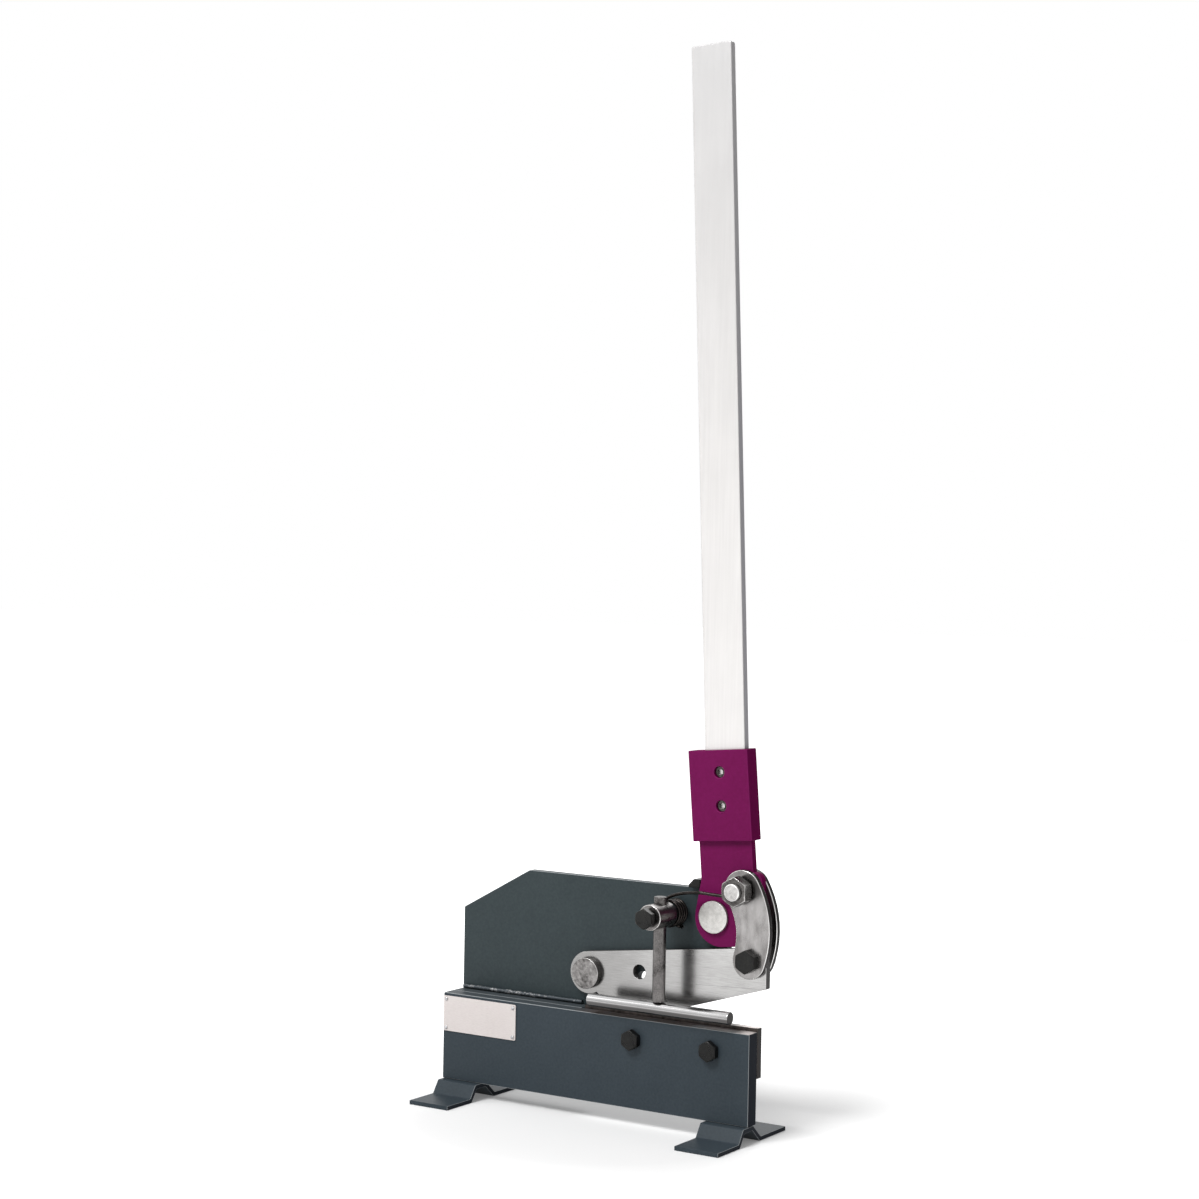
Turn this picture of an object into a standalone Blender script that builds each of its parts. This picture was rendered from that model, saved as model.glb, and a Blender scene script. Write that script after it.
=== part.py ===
"""Bench lever shear: a base on two foot straps, a fixed lower blade, a hinged upper blade drawn
down by a pair of links from a tall lever, and a hold-down bar clamped in front of the blades.

Metres, +Z up. X runs along the blades, Y from the front to the back, and the origin lies on the
bench under the middle of the machine. Places below are counted from the base plate's lower front
left edge until the frame empty moves everything to that origin.
"""

import math

import bpy
import bmesh
from mathutils import Vector

# Clearance between pieces that touch
fit_gap = 0.0003
union_overlap = 0.001
cut_overrun = 0.002
merge_reach = 0.00001

# Base plate, ledge behind it and back plate
base_length = 0.340
base_height = 0.0837
base_thickness = 0.015
ledge_length = 0.1505
back_thickness = 0.008
back_corner_rise = 0.080
back_top_rise = 0.1225
back_shoulder_x = 0.077
back_shoulder_radius = 0.006
back_root_rise = 0.0045
back_root_radius = 0.006
back_knee_x = 0.0312
back_knee_drop = 0.0155
back_chin_x = 0.0075
back_chin_drop = 0.0482
back_chin_radius = 0.012
nose_clearance = 0.0015
nose_top_angle = 72
nose_low_angle = -60
nose_run_in = 0.0065

# Foot straps
foot_width = 0.045
foot_thickness = 0.004
foot_front_reach = 0.053
foot_back_reach = 0.057
foot_rise = 0.016
foot_front_toe = 0.0145
foot_front_top = 0.0065
foot_back_top = 0.005
foot_back_toe = 0.009
foot_bend_radius = 0.005

# Weld bead along the ledge
weld_radius = 0.0022
weld_inset_left = 0.003
weld_inset_right = 0.0085

# Blades
lower_blade_thickness = 0.0077
lower_blade_gap = 0.0035
lower_blade_drop = 0.0425
lower_blade_rise = 0.0032
upper_blade_thickness = 0.008
blade_eye_radius = 0.020
blade_top_land = 0.01105
blade_neck_angle = 300
blade_heel_x = 0.0352
blade_heel_drop = 0.0413
blade_heel_radius = 0.002
blade_tip_reach = 0.0152
blade_tip_drop = 0.0249
blade_tip_radius = 0.001
blade_edge_bow = 0.0008
bar_hole_radius = 0.0069
bar_hole_x = 0.0568
bar_hole_rise = 0.0066
counter_hole_x = 0.057
counter_hole_drop = 0.0009

# Pivots
blade_pivot_inset = 0.0013
blade_pivot_rise = 0.0324
lever_pivot_inset = 0.0515
lever_pivot_rise = 0.0982
link_top_x = 0.0318
link_top_rise = 0.0278
link_low_x = 0.0077
link_low_drop = 0.0637

# Links
link_thickness = 0.006
link_top_radius = 0.0185
link_low_radius = 0.0165
link_bulge = 0.0075
open_pivot_clearance = 0.0026

# Pivot pins with a turned head
pin_radius = 0.010
pin_thread_radius = 0.008
blade_pin_head_radius = 0.0148
blade_pin_head_height = 0.006
lever_pin_head_radius = 0.015
lever_pin_head_height = 0.0035
pin_head_chamfer = 0.0006
pin_thread_over = 0.002

# Nuts, washers and bolt heads, across the flats and high
nut16_flats = 0.024
nut16_height = 0.013
nut12_flats = 0.019
nut12_height = 0.010
lock_nut_height = 0.012
washer_thickness = 0.0025
washer16_radius = 0.015
washer12_radius = 0.012
bolt16_radius = 0.008
bolt12_radius = 0.006
bolt10_radius = 0.005
bolt10_flats = 0.017
bolt10_head = 0.0064
bolt12_head = 0.0075
bolt16_head = 0.0081
thread_over = 0.0013
blade_bolt_inset_left = 0.0662
blade_bolt_inset_right = 0.0403
blade_bolt_drop = 0.0195
blade_bolt_setback = 0.0005
link_bolt_front_over = 0.0036
spring_slot = 0.0036

# Hold-down: post, rod, bar and clamp screw
post_offset_x = 0.042
post_rise = 0.0005
post_hub_radius = 0.0119
post_hub_length = 0.0302
post_hub_back = 0.0077
post_chamfer = 0.0008
rod_radius = 0.006
rod_front = 0.0035
rod_top_over = 0.0055
bar_radius = 0.006
bar_left_reach = 0.0757
bar_right_reach = 0.0757
bar_rise = 0.013
clamp_screw_proud = 0.0046

# Return spring
wire_radius = 0.0015
coil_radius = 0.0115
coil_turns = 4.35
coil_points = 10
coil_front_gap = 0.0018
coil_back_gap = 0.0045
coil_front_angle = 118
hook_sweep = 130
hook_start_angle = -112
tail_reach = 0.0085
tail_depth = 0.0065
tail_bend_radius = 0.0035
tail_bend_points = 5
leg_along_shares = (0.014, 0.174, 0.409, 0.587, 0.760)
leg_rise_shares = (0.561, 0.719, 0.804, 0.785, 0.749)
leg_back_shares = (0.02, 0.12, 0.42, 0.70, 0.98)

# Lever: plate, socket, handle bar and screws
lever_lean = 4.8
lever_left = 0.0119
lever_right = 0.0430
lever_top = 0.090
lever_neck_left = 0.0345
lever_neck_right = 0.0411
lever_neck_radius = 0.010
lever_heel_reach = 0.0268
lever_heel_radius = 0.026
lever_toe_reach = 0.0305
lever_toe_radius = 0.006
lever_blade_gap = 0.0015
lever_side_drop = 0.021
lever_eye_radius = 0.017
lever_side_radius = 0.012
lever_eye_corner = 0.009
socket_bottom = 0.0695
socket_height = 0.0833
socket_left = 0.0157
socket_width = 0.062
socket_side_wall = 0.003
socket_face_wall = 0.0045
socket_play = 0.00023
handle_width = 0.042
handle_length = 0.7007
handle_bottom = 0.098
handle_offset = 0.0182
handle_turn = 2.35
handle_corner = 0.002
set_screw_radius = 0.005
set_screw_offset = 0.016
set_screw_low = 0.0320
set_screw_pitch = 0.031
set_screw_recess = 0.0005
set_screw_socket = 0.005
set_screw_socket_depth = 0.003
stop_width = 0.012
stop_height = 0.0082
stop_front = 0.0007
stop_chamfer = 0.0055

# Name plate and its rivets
plate_left = 0.0008
plate_width = 0.085
plate_height = 0.0342
plate_top_drop = 0.0028
plate_thickness = 0.0008
plate_corner = 0.0015
rivet_inset = 0.0032
rivet_radius = 0.0009
rivet_head_radius = 0.0017
rivet_head_height = 0.0009
rivet_length = 0.006

# Fineness of round shapes, in degrees, in sides and in steps
arc_step = 10
smooth_angle = 35
round_sides = 32
small_sides = 16
link_steps = 10
leg_steps = 3
weld_fineness = 3
wire_fineness = 1

# Heights and layers that follow from the sizes above
base_bottom = foot_rise + fit_gap
base_top = base_bottom + base_height
blade_front = base_thickness + fit_gap
shear_front = blade_front + lower_blade_thickness
shear_back = shear_front + fit_gap
blade_back = shear_back + upper_blade_thickness
back_front = blade_back + fit_gap
back_back = back_front + back_thickness
blade_pivot = Vector((ledge_length + blade_pivot_inset, base_top + blade_pivot_rise))
lever_pivot = Vector((base_length - lever_pivot_inset, base_top + lever_pivot_rise))
link_top = lever_pivot + Vector((link_top_x, link_top_rise))
link_low = link_top + Vector((link_low_x, -link_low_drop))
post_axis = lever_pivot + Vector((-post_offset_x, post_rise))
bar_level = base_top + bar_rise
lower_blade_top = base_top + lower_blade_rise
bar_hole = blade_pivot + Vector((bar_hole_x, bar_hole_rise))
counter_hole = blade_pivot + Vector((counter_hole_x, -counter_hole_drop))

# The upper blade's top edge touches its eye and leaves a land above the lower link bolt
blade_span = link_low - blade_pivot
blade_slope = math.atan2(blade_span.y, blade_span.x)
blade_slope -= math.asin((blade_eye_radius - blade_top_land) / blade_span.length)

for old in list(bpy.data.objects):
    bpy.data.objects.remove(old, do_unlink=True)

parts = bpy.data.collections.new("bench_lever_shear")
cutters = bpy.data.collections.new("cutters")
bpy.context.scene.collection.children.link(parts)
bpy.context.scene.collection.children.link(cutters)


def material(name, colour, roughness, metallic):
    made = bpy.data.materials.new(name)
    made.use_nodes = True
    shader = made.node_tree.nodes["Principled BSDF"]
    shader.inputs["Base Color"].default_value = (*colour, 1.0)
    shader.inputs["Roughness"].default_value = roughness
    shader.inputs["Metallic"].default_value = metallic
    return made


frame_paint = material("blue_grey_paint", (0.045, 0.062, 0.072), 0.45, 0.0)
lever_paint = material("purple_paint", (0.22, 0.012, 0.085), 0.35, 0.0)
ground_steel = material("ground_steel", (0.62, 0.62, 0.63), 0.28, 1.0)
handle_steel = material("handle_steel", (0.75, 0.75, 0.76), 0.30, 1.0)
turned_steel = material("turned_steel", (0.66, 0.66, 0.67), 0.25, 1.0)
black_steel = material("black_steel", (0.02, 0.02, 0.022), 0.42, 0.6)
zinc_steel = material("zinc_steel", (0.58, 0.59, 0.60), 0.35, 1.0)
spring_steel = material("spring_steel", (0.35, 0.35, 0.37), 0.33, 1.0)
weld_metal = material("weld_metal", (0.50, 0.50, 0.50), 0.55, 0.8)
plate_metal = material("plate_metal", (0.78, 0.70, 0.71), 0.40, 0.3)


def empty(name, x, y, z, parent):
    made = bpy.data.objects.new(name, None)
    made.location = (x, y, z)
    made.parent = parent
    parts.objects.link(made)
    return made


def add_object(name, data, kind, parent):
    """Put new data in the parts collection, under its parent's origin."""
    made = bpy.data.objects.new(name, data)
    made.data.materials.append(kind)
    made.parent = parent
    parts.objects.link(made)
    return made


def shade_round(made):
    made.data.shade_smooth()
    made.data.set_sharp_from_angle(angle=math.radians(smooth_angle))


def place(made, x, y, z, parent_at):
    """Set a location that is given from the base's corner, under a parent that stands at parent_at."""
    made.location = Vector((x, y, z)) - Vector(parent_at)


# Outlines in the plane of the blades, as lists of (x, z)

def arc(centre, radius, start, end):
    count = max(2, math.ceil(abs(end - start) / arc_step))
    points = []
    for i in range(count + 1):
        turn = math.radians(start + (end - start) * i / count)
        points.append(Vector((centre[0] + radius * math.cos(turn), centre[1] + radius * math.sin(turn))))
    return points


def circle(centre, radius, sides):
    turns = [2 * math.pi * i / sides for i in range(sides)]
    return [Vector((centre[0] + radius * math.cos(t), centre[1] + radius * math.sin(t))) for t in turns]


def rounded(corners):
    """Turn a closed list of (x, z, radius) corners into points, with an arc at each round corner."""
    points = []
    for i, (x, z, radius) in enumerate(corners):
        here = Vector((x, z))
        if not radius:
            points.append(here)
            continue
        before = Vector(corners[i - 1][:2]) - here
        after = Vector(corners[(i + 1) % len(corners)][:2]) - here
        points += fillet(here, before.normalized(), after.normalized(), radius)
    return points


def fillet(corner, to_before, to_after, radius):
    half = to_before.angle(to_after) / 2
    centre = corner + (to_before + to_after).normalized() * radius / math.sin(half)
    first = corner + to_before * radius / math.tan(half) - centre
    last = corner + to_after * radius / math.tan(half) - centre
    start = math.degrees(math.atan2(first.y, first.x))
    end = math.degrees(math.atan2(last.y, last.x))
    if end - start > 180:
        end -= 360
    if start - end > 180:
        end += 360
    return arc(centre, radius, start, end)


def flat_piece(name, outline, holes, front, thickness, kind, parent, origin):
    """A plate cut from sheet: its outline and holes lie in the plane of the blades."""
    data = bpy.data.curves.new(name, "CURVE")
    data.dimensions = "2D"
    data.fill_mode = "BOTH"
    data.extrude = thickness / 2
    for points in [outline] + holes:
        line = data.splines.new("POLY")
        line.points.add(len(points) - 1)
        for spot, (x, z) in zip(line.points, points):
            spot.co = (x - origin[0], z - origin[1], 0, 1)
        line.use_cyclic_u = True
    made = add_object(name, data, kind, parent)
    made.rotation_euler = (math.pi / 2, 0, 0)
    made.location = (0, front + thickness / 2, 0)
    return made


def turned(name, profile, x, z, kind, parent, parent_at, sides=round_sides):
    """A turned piece whose axis runs from front to back: profile holds (radius, y) from its front."""
    mesh = bpy.data.meshes.new(name)
    work = bmesh.new()
    spots = [work.verts.new((radius, 0, -y)) for radius, y in profile]
    for first, last in zip(spots, spots[1:]):
        work.edges.new((first, last))
    work.to_mesh(mesh)
    work.free()
    made = add_object(name, mesh, kind, parent)
    screw = made.modifiers.new("turn", "SCREW")
    screw.steps = sides
    screw.render_steps = sides
    screw.use_merge_vertices = True
    screw.merge_threshold = merge_reach
    screw.use_smooth_shade = True
    made.rotation_euler = (math.pi / 2, 0, 0)
    place(made, x, 0, z, parent_at)
    return made


def solid_rod(name, radius, length, kind, parent, sides=round_sides):
    """A cylinder or, with six sides, a hexagonal bar, centred on its origin along Z."""
    mesh = bpy.data.meshes.new(name)
    work = bmesh.new()
    bmesh.ops.create_cone(work, cap_ends=True, segments=sides, radius1=radius, radius2=radius, depth=length)
    work.to_mesh(mesh)
    work.free()
    made = add_object(name, mesh, kind, parent)
    if sides > 6:
        shade_round(made)
    return made


def block(name, low, high, kind, parent, parent_at):
    """A box between two corners."""
    mesh = bpy.data.meshes.new(name)
    work = bmesh.new()
    bmesh.ops.create_cube(work, size=1)
    size = Vector(high) - Vector(low)
    bmesh.ops.scale(work, verts=work.verts, vec=size)
    work.to_mesh(mesh)
    work.free()
    made = add_object(name, mesh, kind, parent)
    middle = (Vector(high) + Vector(low)) / 2
    place(made, *middle, parent_at)
    return made


def boolean(target, tool, operation):
    """Cut or join with a helper object, which moves to the cutters collection."""
    parts.objects.unlink(tool)
    cutters.objects.link(tool)
    tool.hide_render = True
    tool.display_type = "WIRE"
    step = target.modifiers.new(operation.lower(), "BOOLEAN")
    step.operation = operation
    step.solver = "EXACT"
    step.object = tool


def hex_piece(name, flats, front, height, x, z, kind, parent, parent_at):
    """A hexagonal prism whose axis runs from front to back."""
    made = solid_rod(name, flats / math.sqrt(3), height, kind, parent, 6)
    made.rotation_euler = (math.pi / 2, 0, 0)
    place(made, x, front + height / 2, z, parent_at)
    return made


def round_tool(name, radius, front, back, x, z, parent, parent_at, sides=round_sides):
    made = solid_rod(name, radius, back - front, black_steel, parent, sides)
    made.rotation_euler = (math.pi / 2, 0, 0)
    place(made, x, (front + back) / 2, z, parent_at)
    return made


def hex_bolt(name, flats, head_front, head_back, radius, end, x, z, kind, parent, parent_at):
    """A hexagon head with its plain shank, which runs from the head's back to end."""
    made = hex_piece(name, flats, min(head_front, head_back), abs(head_back - head_front),
                     x, z, kind, parent, parent_at)
    inside = union_overlap if end < head_back else -union_overlap
    ends = sorted((head_back + inside, end))
    shank = round_tool(name + "_shank", radius, *ends, x, z, parent, parent_at)
    boolean(made, shank, "UNION")
    return made


def nut(name, flats, front, height, bolt_radius, x, z, kind, parent, parent_at):
    made = hex_piece(name, flats, front, height, x, z, kind, parent, parent_at)
    bore = round_tool(name + "_bore", bolt_radius + fit_gap, front - cut_overrun,
                      front + height + cut_overrun, x, z, parent, parent_at)
    boolean(made, bore, "DIFFERENCE")
    return made


def ring(name, outer, inner, front, thickness, x, z, kind, parent, parent_at):
    made = round_tool(name, outer, front, front + thickness, x, z, parent, parent_at)
    made.data.materials.clear()
    made.data.materials.append(kind)
    bore = round_tool(name + "_bore", inner, front - cut_overrun, front + thickness + cut_overrun,
                      x, z, parent, parent_at)
    boolean(made, bore, "DIFFERENCE")
    return made


# Shapes of the flat pieces

def blade_top_at(x):
    """Height of the upper blade's straight top edge."""
    tangent = blade_pivot + blade_eye_radius * Vector((-math.sin(blade_slope), math.cos(blade_slope)))
    return tangent.y + (x - tangent.x) * math.tan(blade_slope)


def upper_blade_outline():
    eye = arc(blade_pivot, blade_eye_radius, 90 + math.degrees(blade_slope), blade_neck_angle)
    tip_x = link_low.x + blade_tip_reach
    heel = blade_pivot + Vector((blade_heel_x, -blade_heel_drop))
    tip = Vector((tip_x, link_low.y - blade_tip_drop))
    along = (tip - heel).normalized()
    middle = (heel + tip) / 2 + blade_edge_bow * Vector((along.y, -along.x))
    corners = [
        (*eye[-1], 0),
        (*heel, blade_heel_radius),
        (*middle, 0),
        (*tip, blade_tip_radius),
        (tip_x, blade_top_at(tip_x), blade_tip_radius),
        (*eye[0], 0),
    ]
    return eye[1:-1] + rounded(corners)


def back_plate_outline():
    nose_radius = (link_top - lever_pivot).length - link_top_radius - nose_clearance
    nose = arc(lever_pivot, nose_radius, nose_low_angle, nose_top_angle)
    top = base_top + back_top_rise
    run_in = nose[-1].x - nose_run_in
    corners = [
        (0, base_bottom, 0),
        (ledge_length, base_bottom, 0),
        (ledge_length, base_top + back_root_rise, back_root_radius),
        (counter_hole.x + back_knee_x, counter_hole.y - back_knee_drop, 0),
        (lever_pivot.x + back_chin_x, lever_pivot.y - back_chin_drop, back_chin_radius),
    ]
    corners += [(*spot, 0) for spot in nose]
    corners += [
        (run_in, top, 0),
        (back_shoulder_x, top, back_shoulder_radius),
        (0, base_top + back_corner_rise, 0),
    ]
    return rounded(corners)


def link_outline():
    """Two eyes joined by sides that follow a bowed middle line."""
    middle = (link_top + link_low) / 2
    along = (link_low - link_top).normalized()
    across = Vector((-along.y, along.x))
    bend = middle + 2 * link_bulge * across
    right = []
    left = []
    for i in range(link_steps + 1):
        s = i / link_steps
        spot = link_top.lerp(bend, s).lerp(bend.lerp(link_low, s), s)
        heading = (bend - link_top).lerp(link_low - bend, s).normalized()
        side = Vector((-heading.y, heading.x))
        half = link_top_radius + (link_low_radius - link_top_radius) * s
        right.append(spot + half * side)
        left.append(spot - half * side)
    low_start = angle_at(right[-1], link_low)
    top_start = angle_at(left[0], link_top)
    low = arc(link_low, link_low_radius, low_start, low_start - 180)
    top = arc(link_top, link_top_radius, top_start, top_start - 180)
    return right + low[1:-1] + left[::-1] + top[1:-1]


def angle_at(spot, centre):
    return math.degrees(math.atan2(spot[1] - centre[1], spot[0] - centre[0]))


lean = math.radians(lever_lean)
lever_up = Vector((-math.sin(lean), math.cos(lean)))
lever_side = Vector((math.cos(lean), math.sin(lean)))


def on_lever(up, side):
    return lever_pivot + up * lever_up + side * lever_side


def lever_outline():
    heel_x = lever_pivot.x - lever_heel_reach
    toe_x = lever_pivot.x + lever_toe_reach
    right = link_top.x + lever_eye_radius
    corners = [
        (*on_lever(lever_top, -lever_left), 0),
        (*on_lever(lever_neck_left, -lever_left), lever_neck_radius),
        (heel_x, blade_top_at(heel_x) + lever_blade_gap, lever_heel_radius),
        (toe_x, blade_top_at(toe_x) + lever_blade_gap, lever_toe_radius),
        (right, link_top.y - lever_side_drop, lever_side_radius),
        (right, link_top.y + lever_eye_radius, lever_eye_corner),
        (*on_lever(lever_neck_right, lever_right), 0),
        (*on_lever(lever_top, lever_right), 0),
    ]
    return rounded(corners)


def strap_outline():
    """Side view of a foot strap as (y, z): a flat strip with its middle raised under the base."""
    middle = foot_thickness / 2
    raised = foot_rise - middle
    line = [
        (-foot_front_reach, middle),
        (-foot_front_toe, middle),
        (-foot_front_top, raised),
        (base_thickness - foot_back_top, raised),
        (base_thickness + foot_back_toe, middle),
        (base_thickness + foot_back_reach, middle),
    ]
    upper = offset(line, foot_thickness / 2)
    lower = offset(line, -foot_thickness / 2)
    corners = [(*upper[0], 0)]
    corners += [(*spot, foot_bend_radius / 2) for spot in upper[1:-1]]
    corners += [(*upper[-1], 0), (*lower[-1], 0)]
    corners += [(*spot, foot_bend_radius / 2) for spot in lower[-2:0:-1]]
    corners += [(*lower[0], 0)]
    return rounded(corners)


def offset(line, distance):
    """Move an open line of (x, z) places sideways, keeping its corners sharp."""
    spots = [Vector(spot) for spot in line]
    moved = []
    for i, spot in enumerate(spots):
        first = (spot - spots[i - 1]).normalized() if i else (spots[1] - spot).normalized()
        last = (spots[i + 1] - spot).normalized() if i + 1 < len(spots) else first
        normal = Vector((-first.y - last.y, first.x + last.x)).normalized()
        moved.append(spot + normal * distance / normal.dot(Vector((-first.y, first.x))))
    return moved


# Empties: the frame carries everything to the row's origin, the others stand on the joints' axes

reach = max(spot.x for spot in link_outline())
frame_at = (0, 0, 0)
frame = empty("frame", -reach / 2, -(base_thickness + foot_back_reach - foot_front_reach) / 2, 0, None)
blade_at = (blade_pivot.x, 0, blade_pivot.y)
blade_axis = empty("blade_axis", *blade_at, frame)
lever_at = (lever_pivot.x, 0, lever_pivot.y)
lever_axis = empty("lever_axis", *lever_at, frame)
link_at = (link_top.x, 0, link_top.y)
link_axis = empty("link_axis", *(Vector(link_at) - Vector(lever_at)), lever_axis)
hold_at = (post_axis.x, -rod_front, bar_level)
hold_axis = empty("hold_down_axis", *hold_at, frame)

blade_bolts = [
    Vector((ledge_length + blade_bolt_inset_left, base_top - blade_bolt_drop)),
    Vector((base_length - blade_bolt_inset_right, base_top - blade_bolt_drop)),
]


def build_base():
    rivets = rivet_places()
    holes = [circle(spot, bolt10_radius + fit_gap, round_sides) for spot in blade_bolts]
    holes += [circle(spot, rivet_radius + fit_gap, small_sides) for spot in rivets]
    outline = [(0, base_bottom), (base_length, base_bottom), (base_length, base_top), (0, base_top)]
    flat_piece("base_front_plate", outline, holes, 0, base_thickness, frame_paint, frame, (0, 0))
    block("base_spacer", (0, blade_front, base_bottom), (ledge_length, blade_back, base_top),
          frame_paint, frame, frame_at)
    build_back_plate()
    build_feet()
    build_weld()


def build_back_plate():
    stud_hole = circle(post_axis, bolt12_radius + fit_gap, round_sides)
    pins = [circle(spot, pin_radius + fit_gap, round_sides) for spot in (blade_pivot, lever_pivot)]
    tail = circle(coil_tail(), wire_radius + fit_gap, small_sides)
    hole = circle(counter_hole, bar_hole_radius, round_sides)
    flat_piece("back_plate", back_plate_outline(), [stud_hole, tail, hole] + pins,
               back_front, back_thickness, frame_paint, frame, (0, 0))


def build_feet():
    for name, left in (("foot_strap_left", 0), ("foot_strap_right", base_length - foot_width)):
        strap = flat_piece(name, strap_outline(), [], 0, foot_width, frame_paint, frame, (0, 0))
        strap.rotation_euler = (math.pi / 2, 0, math.pi / 2)
        strap.location = (left + foot_width / 2, 0, 0)


def build_weld():
    bead = weld_radius + fit_gap
    left = (weld_inset_left, back_front - bead, base_top + bead)
    right = (ledge_length - weld_inset_right, back_front - bead, base_top + bead)
    wire("weld_bead", [left, right], weld_radius, weld_metal, weld_fineness)


def wire(name, points, radius, kind, fineness):
    """A round wire with filled caps through points of the base's frame."""
    data = bpy.data.curves.new(name, "CURVE")
    data.dimensions = "3D"
    data.bevel_depth = radius
    data.bevel_resolution = fineness
    data.use_fill_caps = True
    line = data.splines.new("POLY")
    line.points.add(len(points) - 1)
    for spot, place_at in zip(line.points, points):
        spot.co = (*place_at, 1)
    line.use_smooth = True
    return add_object(name, data, kind, frame)


def build_stop():
    """The block that the raised lever rests against, on the back plate's top edge."""
    low = base_top + back_top_rise + fit_gap
    edge_top = on_lever(lever_neck_left, -lever_left)
    heel_x = lever_pivot.x - lever_heel_reach
    heel = Vector((heel_x, blade_top_at(heel_x) + lever_blade_gap))
    share = (low - heel.y) / (edge_top.y - heel.y)
    right = heel.x + (edge_top.x - heel.x) * share - fit_gap
    left = right - stop_width
    corners = [
        (left, low),
        (right, low),
        (right, low + stop_height),
        (left + stop_chamfer, low + stop_height),
        (left, low + stop_height - stop_chamfer),
    ]
    front = shear_back + stop_front
    flat_piece("lever_stop", corners, [], front, back_back - fit_gap - front,
               black_steel, frame, (0, 0))


def rivet_places():
    left = plate_left + rivet_inset
    right = plate_left + plate_width - rivet_inset
    top = base_top - plate_top_drop - rivet_inset
    low = base_top - plate_top_drop - plate_height + rivet_inset
    return [Vector((x, z)) for x in (left, right) for z in (low, top)]


def build_name_plate():
    """A bare plate, held by four small rivets."""
    right = plate_left + plate_width
    top = base_top - plate_top_drop
    low = top - plate_height
    corners = [
        (plate_left, low, plate_corner),
        (right, low, plate_corner),
        (right, top, plate_corner),
        (plate_left, top, plate_corner),
    ]
    spots = rivet_places()
    holes = [circle(spot, rivet_radius + fit_gap, small_sides) for spot in spots]
    front = -fit_gap - plate_thickness
    flat_piece("name_plate", rounded(corners), holes, front, plate_thickness, plate_metal, frame, (0, 0))
    seat = front - fit_gap
    head = [
        (0, seat - rivet_head_height),
        (rivet_head_radius / 2, seat - rivet_head_height),
        (rivet_head_radius, seat - rivet_head_height / 3),
        (rivet_head_radius, seat),
        (rivet_radius, seat),
        (rivet_radius, seat + rivet_length),
        (0, seat + rivet_length),
    ]
    for i, spot in enumerate(spots, 1):
        turned(f"rivet_{i}", head, spot.x, spot.y, zinc_steel, frame, frame_at, small_sides)


def build_lower_blade():
    holes = [circle(spot, bolt10_radius + fit_gap, round_sides) for spot in blade_bolts]
    left = ledge_length + lower_blade_gap
    low = base_top - lower_blade_drop
    outline = [(left, low), (base_length, low), (base_length, lower_blade_top), (left, lower_blade_top)]
    flat_piece("lower_blade", outline, holes, blade_front, lower_blade_thickness, ground_steel,
               frame, (0, 0))
    for side, spot in zip(("left", "right"), blade_bolts):
        hex_bolt("lower_blade_bolt_" + side, bolt10_flats, -fit_gap - bolt10_head, -fit_gap, bolt10_radius,
                 shear_front - blade_bolt_setback, spot.x, spot.y, black_steel, frame, frame_at)


def build_upper_blade():
    holes = [
        circle(blade_pivot, pin_radius + fit_gap, round_sides),
        circle(bar_hole, bar_hole_radius, round_sides),
        circle(link_low, bolt12_radius + open_pivot_clearance, round_sides),
    ]
    flat_piece("upper_blade", upper_blade_outline(), holes, shear_back, upper_blade_thickness,
               ground_steel, blade_axis, blade_pivot)


def headed_pin(name, head_radius, head_height, seat_back, spot):
    front = shear_front - head_height
    profile = [
        (0, front),
        (head_radius - pin_head_chamfer, front),
        (head_radius, front + pin_head_chamfer),
        (head_radius, shear_front),
        (pin_radius, shear_front),
        (pin_radius, back_back),
        (pin_thread_radius, back_back),
        (pin_thread_radius, seat_back + pin_thread_over),
        (0, seat_back + pin_thread_over),
    ]
    turned(name, profile, spot.x, spot.y, turned_steel, frame, frame_at)


def build_pins():
    nut_front = back_back + fit_gap
    headed_pin("blade_pivot_pin", blade_pin_head_radius, blade_pin_head_height,
               nut_front + nut16_height, blade_pivot)
    nut("blade_pivot_nut", nut16_flats, nut_front, nut16_height, pin_thread_radius,
        *blade_pivot, zinc_steel, frame, frame_at)
    ring("lever_pivot_washer", washer16_radius, pin_thread_radius + fit_gap, nut_front, washer_thickness,
         *lever_pivot, zinc_steel, frame, frame_at)
    nut_front += washer_thickness + fit_gap
    headed_pin("lever_pivot_pin", lever_pin_head_radius, lever_pin_head_height,
               nut_front + nut16_height, lever_pivot)
    nut("lever_pivot_nut", nut16_flats, nut_front, nut16_height, pin_thread_radius,
        *lever_pivot, zinc_steel, frame, frame_at)


def build_hold_down():
    hub_front = post_hub_back - post_hub_length
    nut_front = back_back + fit_gap
    stud_end = nut_front + nut12_height + pin_thread_over
    profile = [
        (0, hub_front),
        (post_hub_radius - post_chamfer, hub_front),
        (post_hub_radius, hub_front + post_chamfer),
        (post_hub_radius, post_hub_back - post_chamfer),
        (post_hub_radius - post_chamfer, post_hub_back),
        (bolt12_radius, post_hub_back),
        (bolt12_radius, stud_end),
        (0, stud_end),
    ]
    post = turned("hold_down_post", profile, *post_axis, turned_steel, frame, frame_at)
    boolean(post, cross_bore(), "DIFFERENCE")
    screw_bore = round_tool("clamp_bore", bolt10_radius + fit_gap, hub_front - cut_overrun, -rod_front,
                            *post_axis, frame, frame_at)
    boolean(post, screw_bore, "DIFFERENCE")
    nut("hold_down_nut", nut12_flats, nut_front, nut12_height, bolt12_radius, *post_axis,
        zinc_steel, frame, frame_at)
    head_back = hub_front - clamp_screw_proud
    hex_bolt("clamp_screw", bolt10_flats, head_back - bolt10_head, head_back, bolt10_radius,
             -rod_front - rod_radius - fit_gap, *post_axis, black_steel, frame, frame_at)
    build_bar_and_rod()


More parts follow.
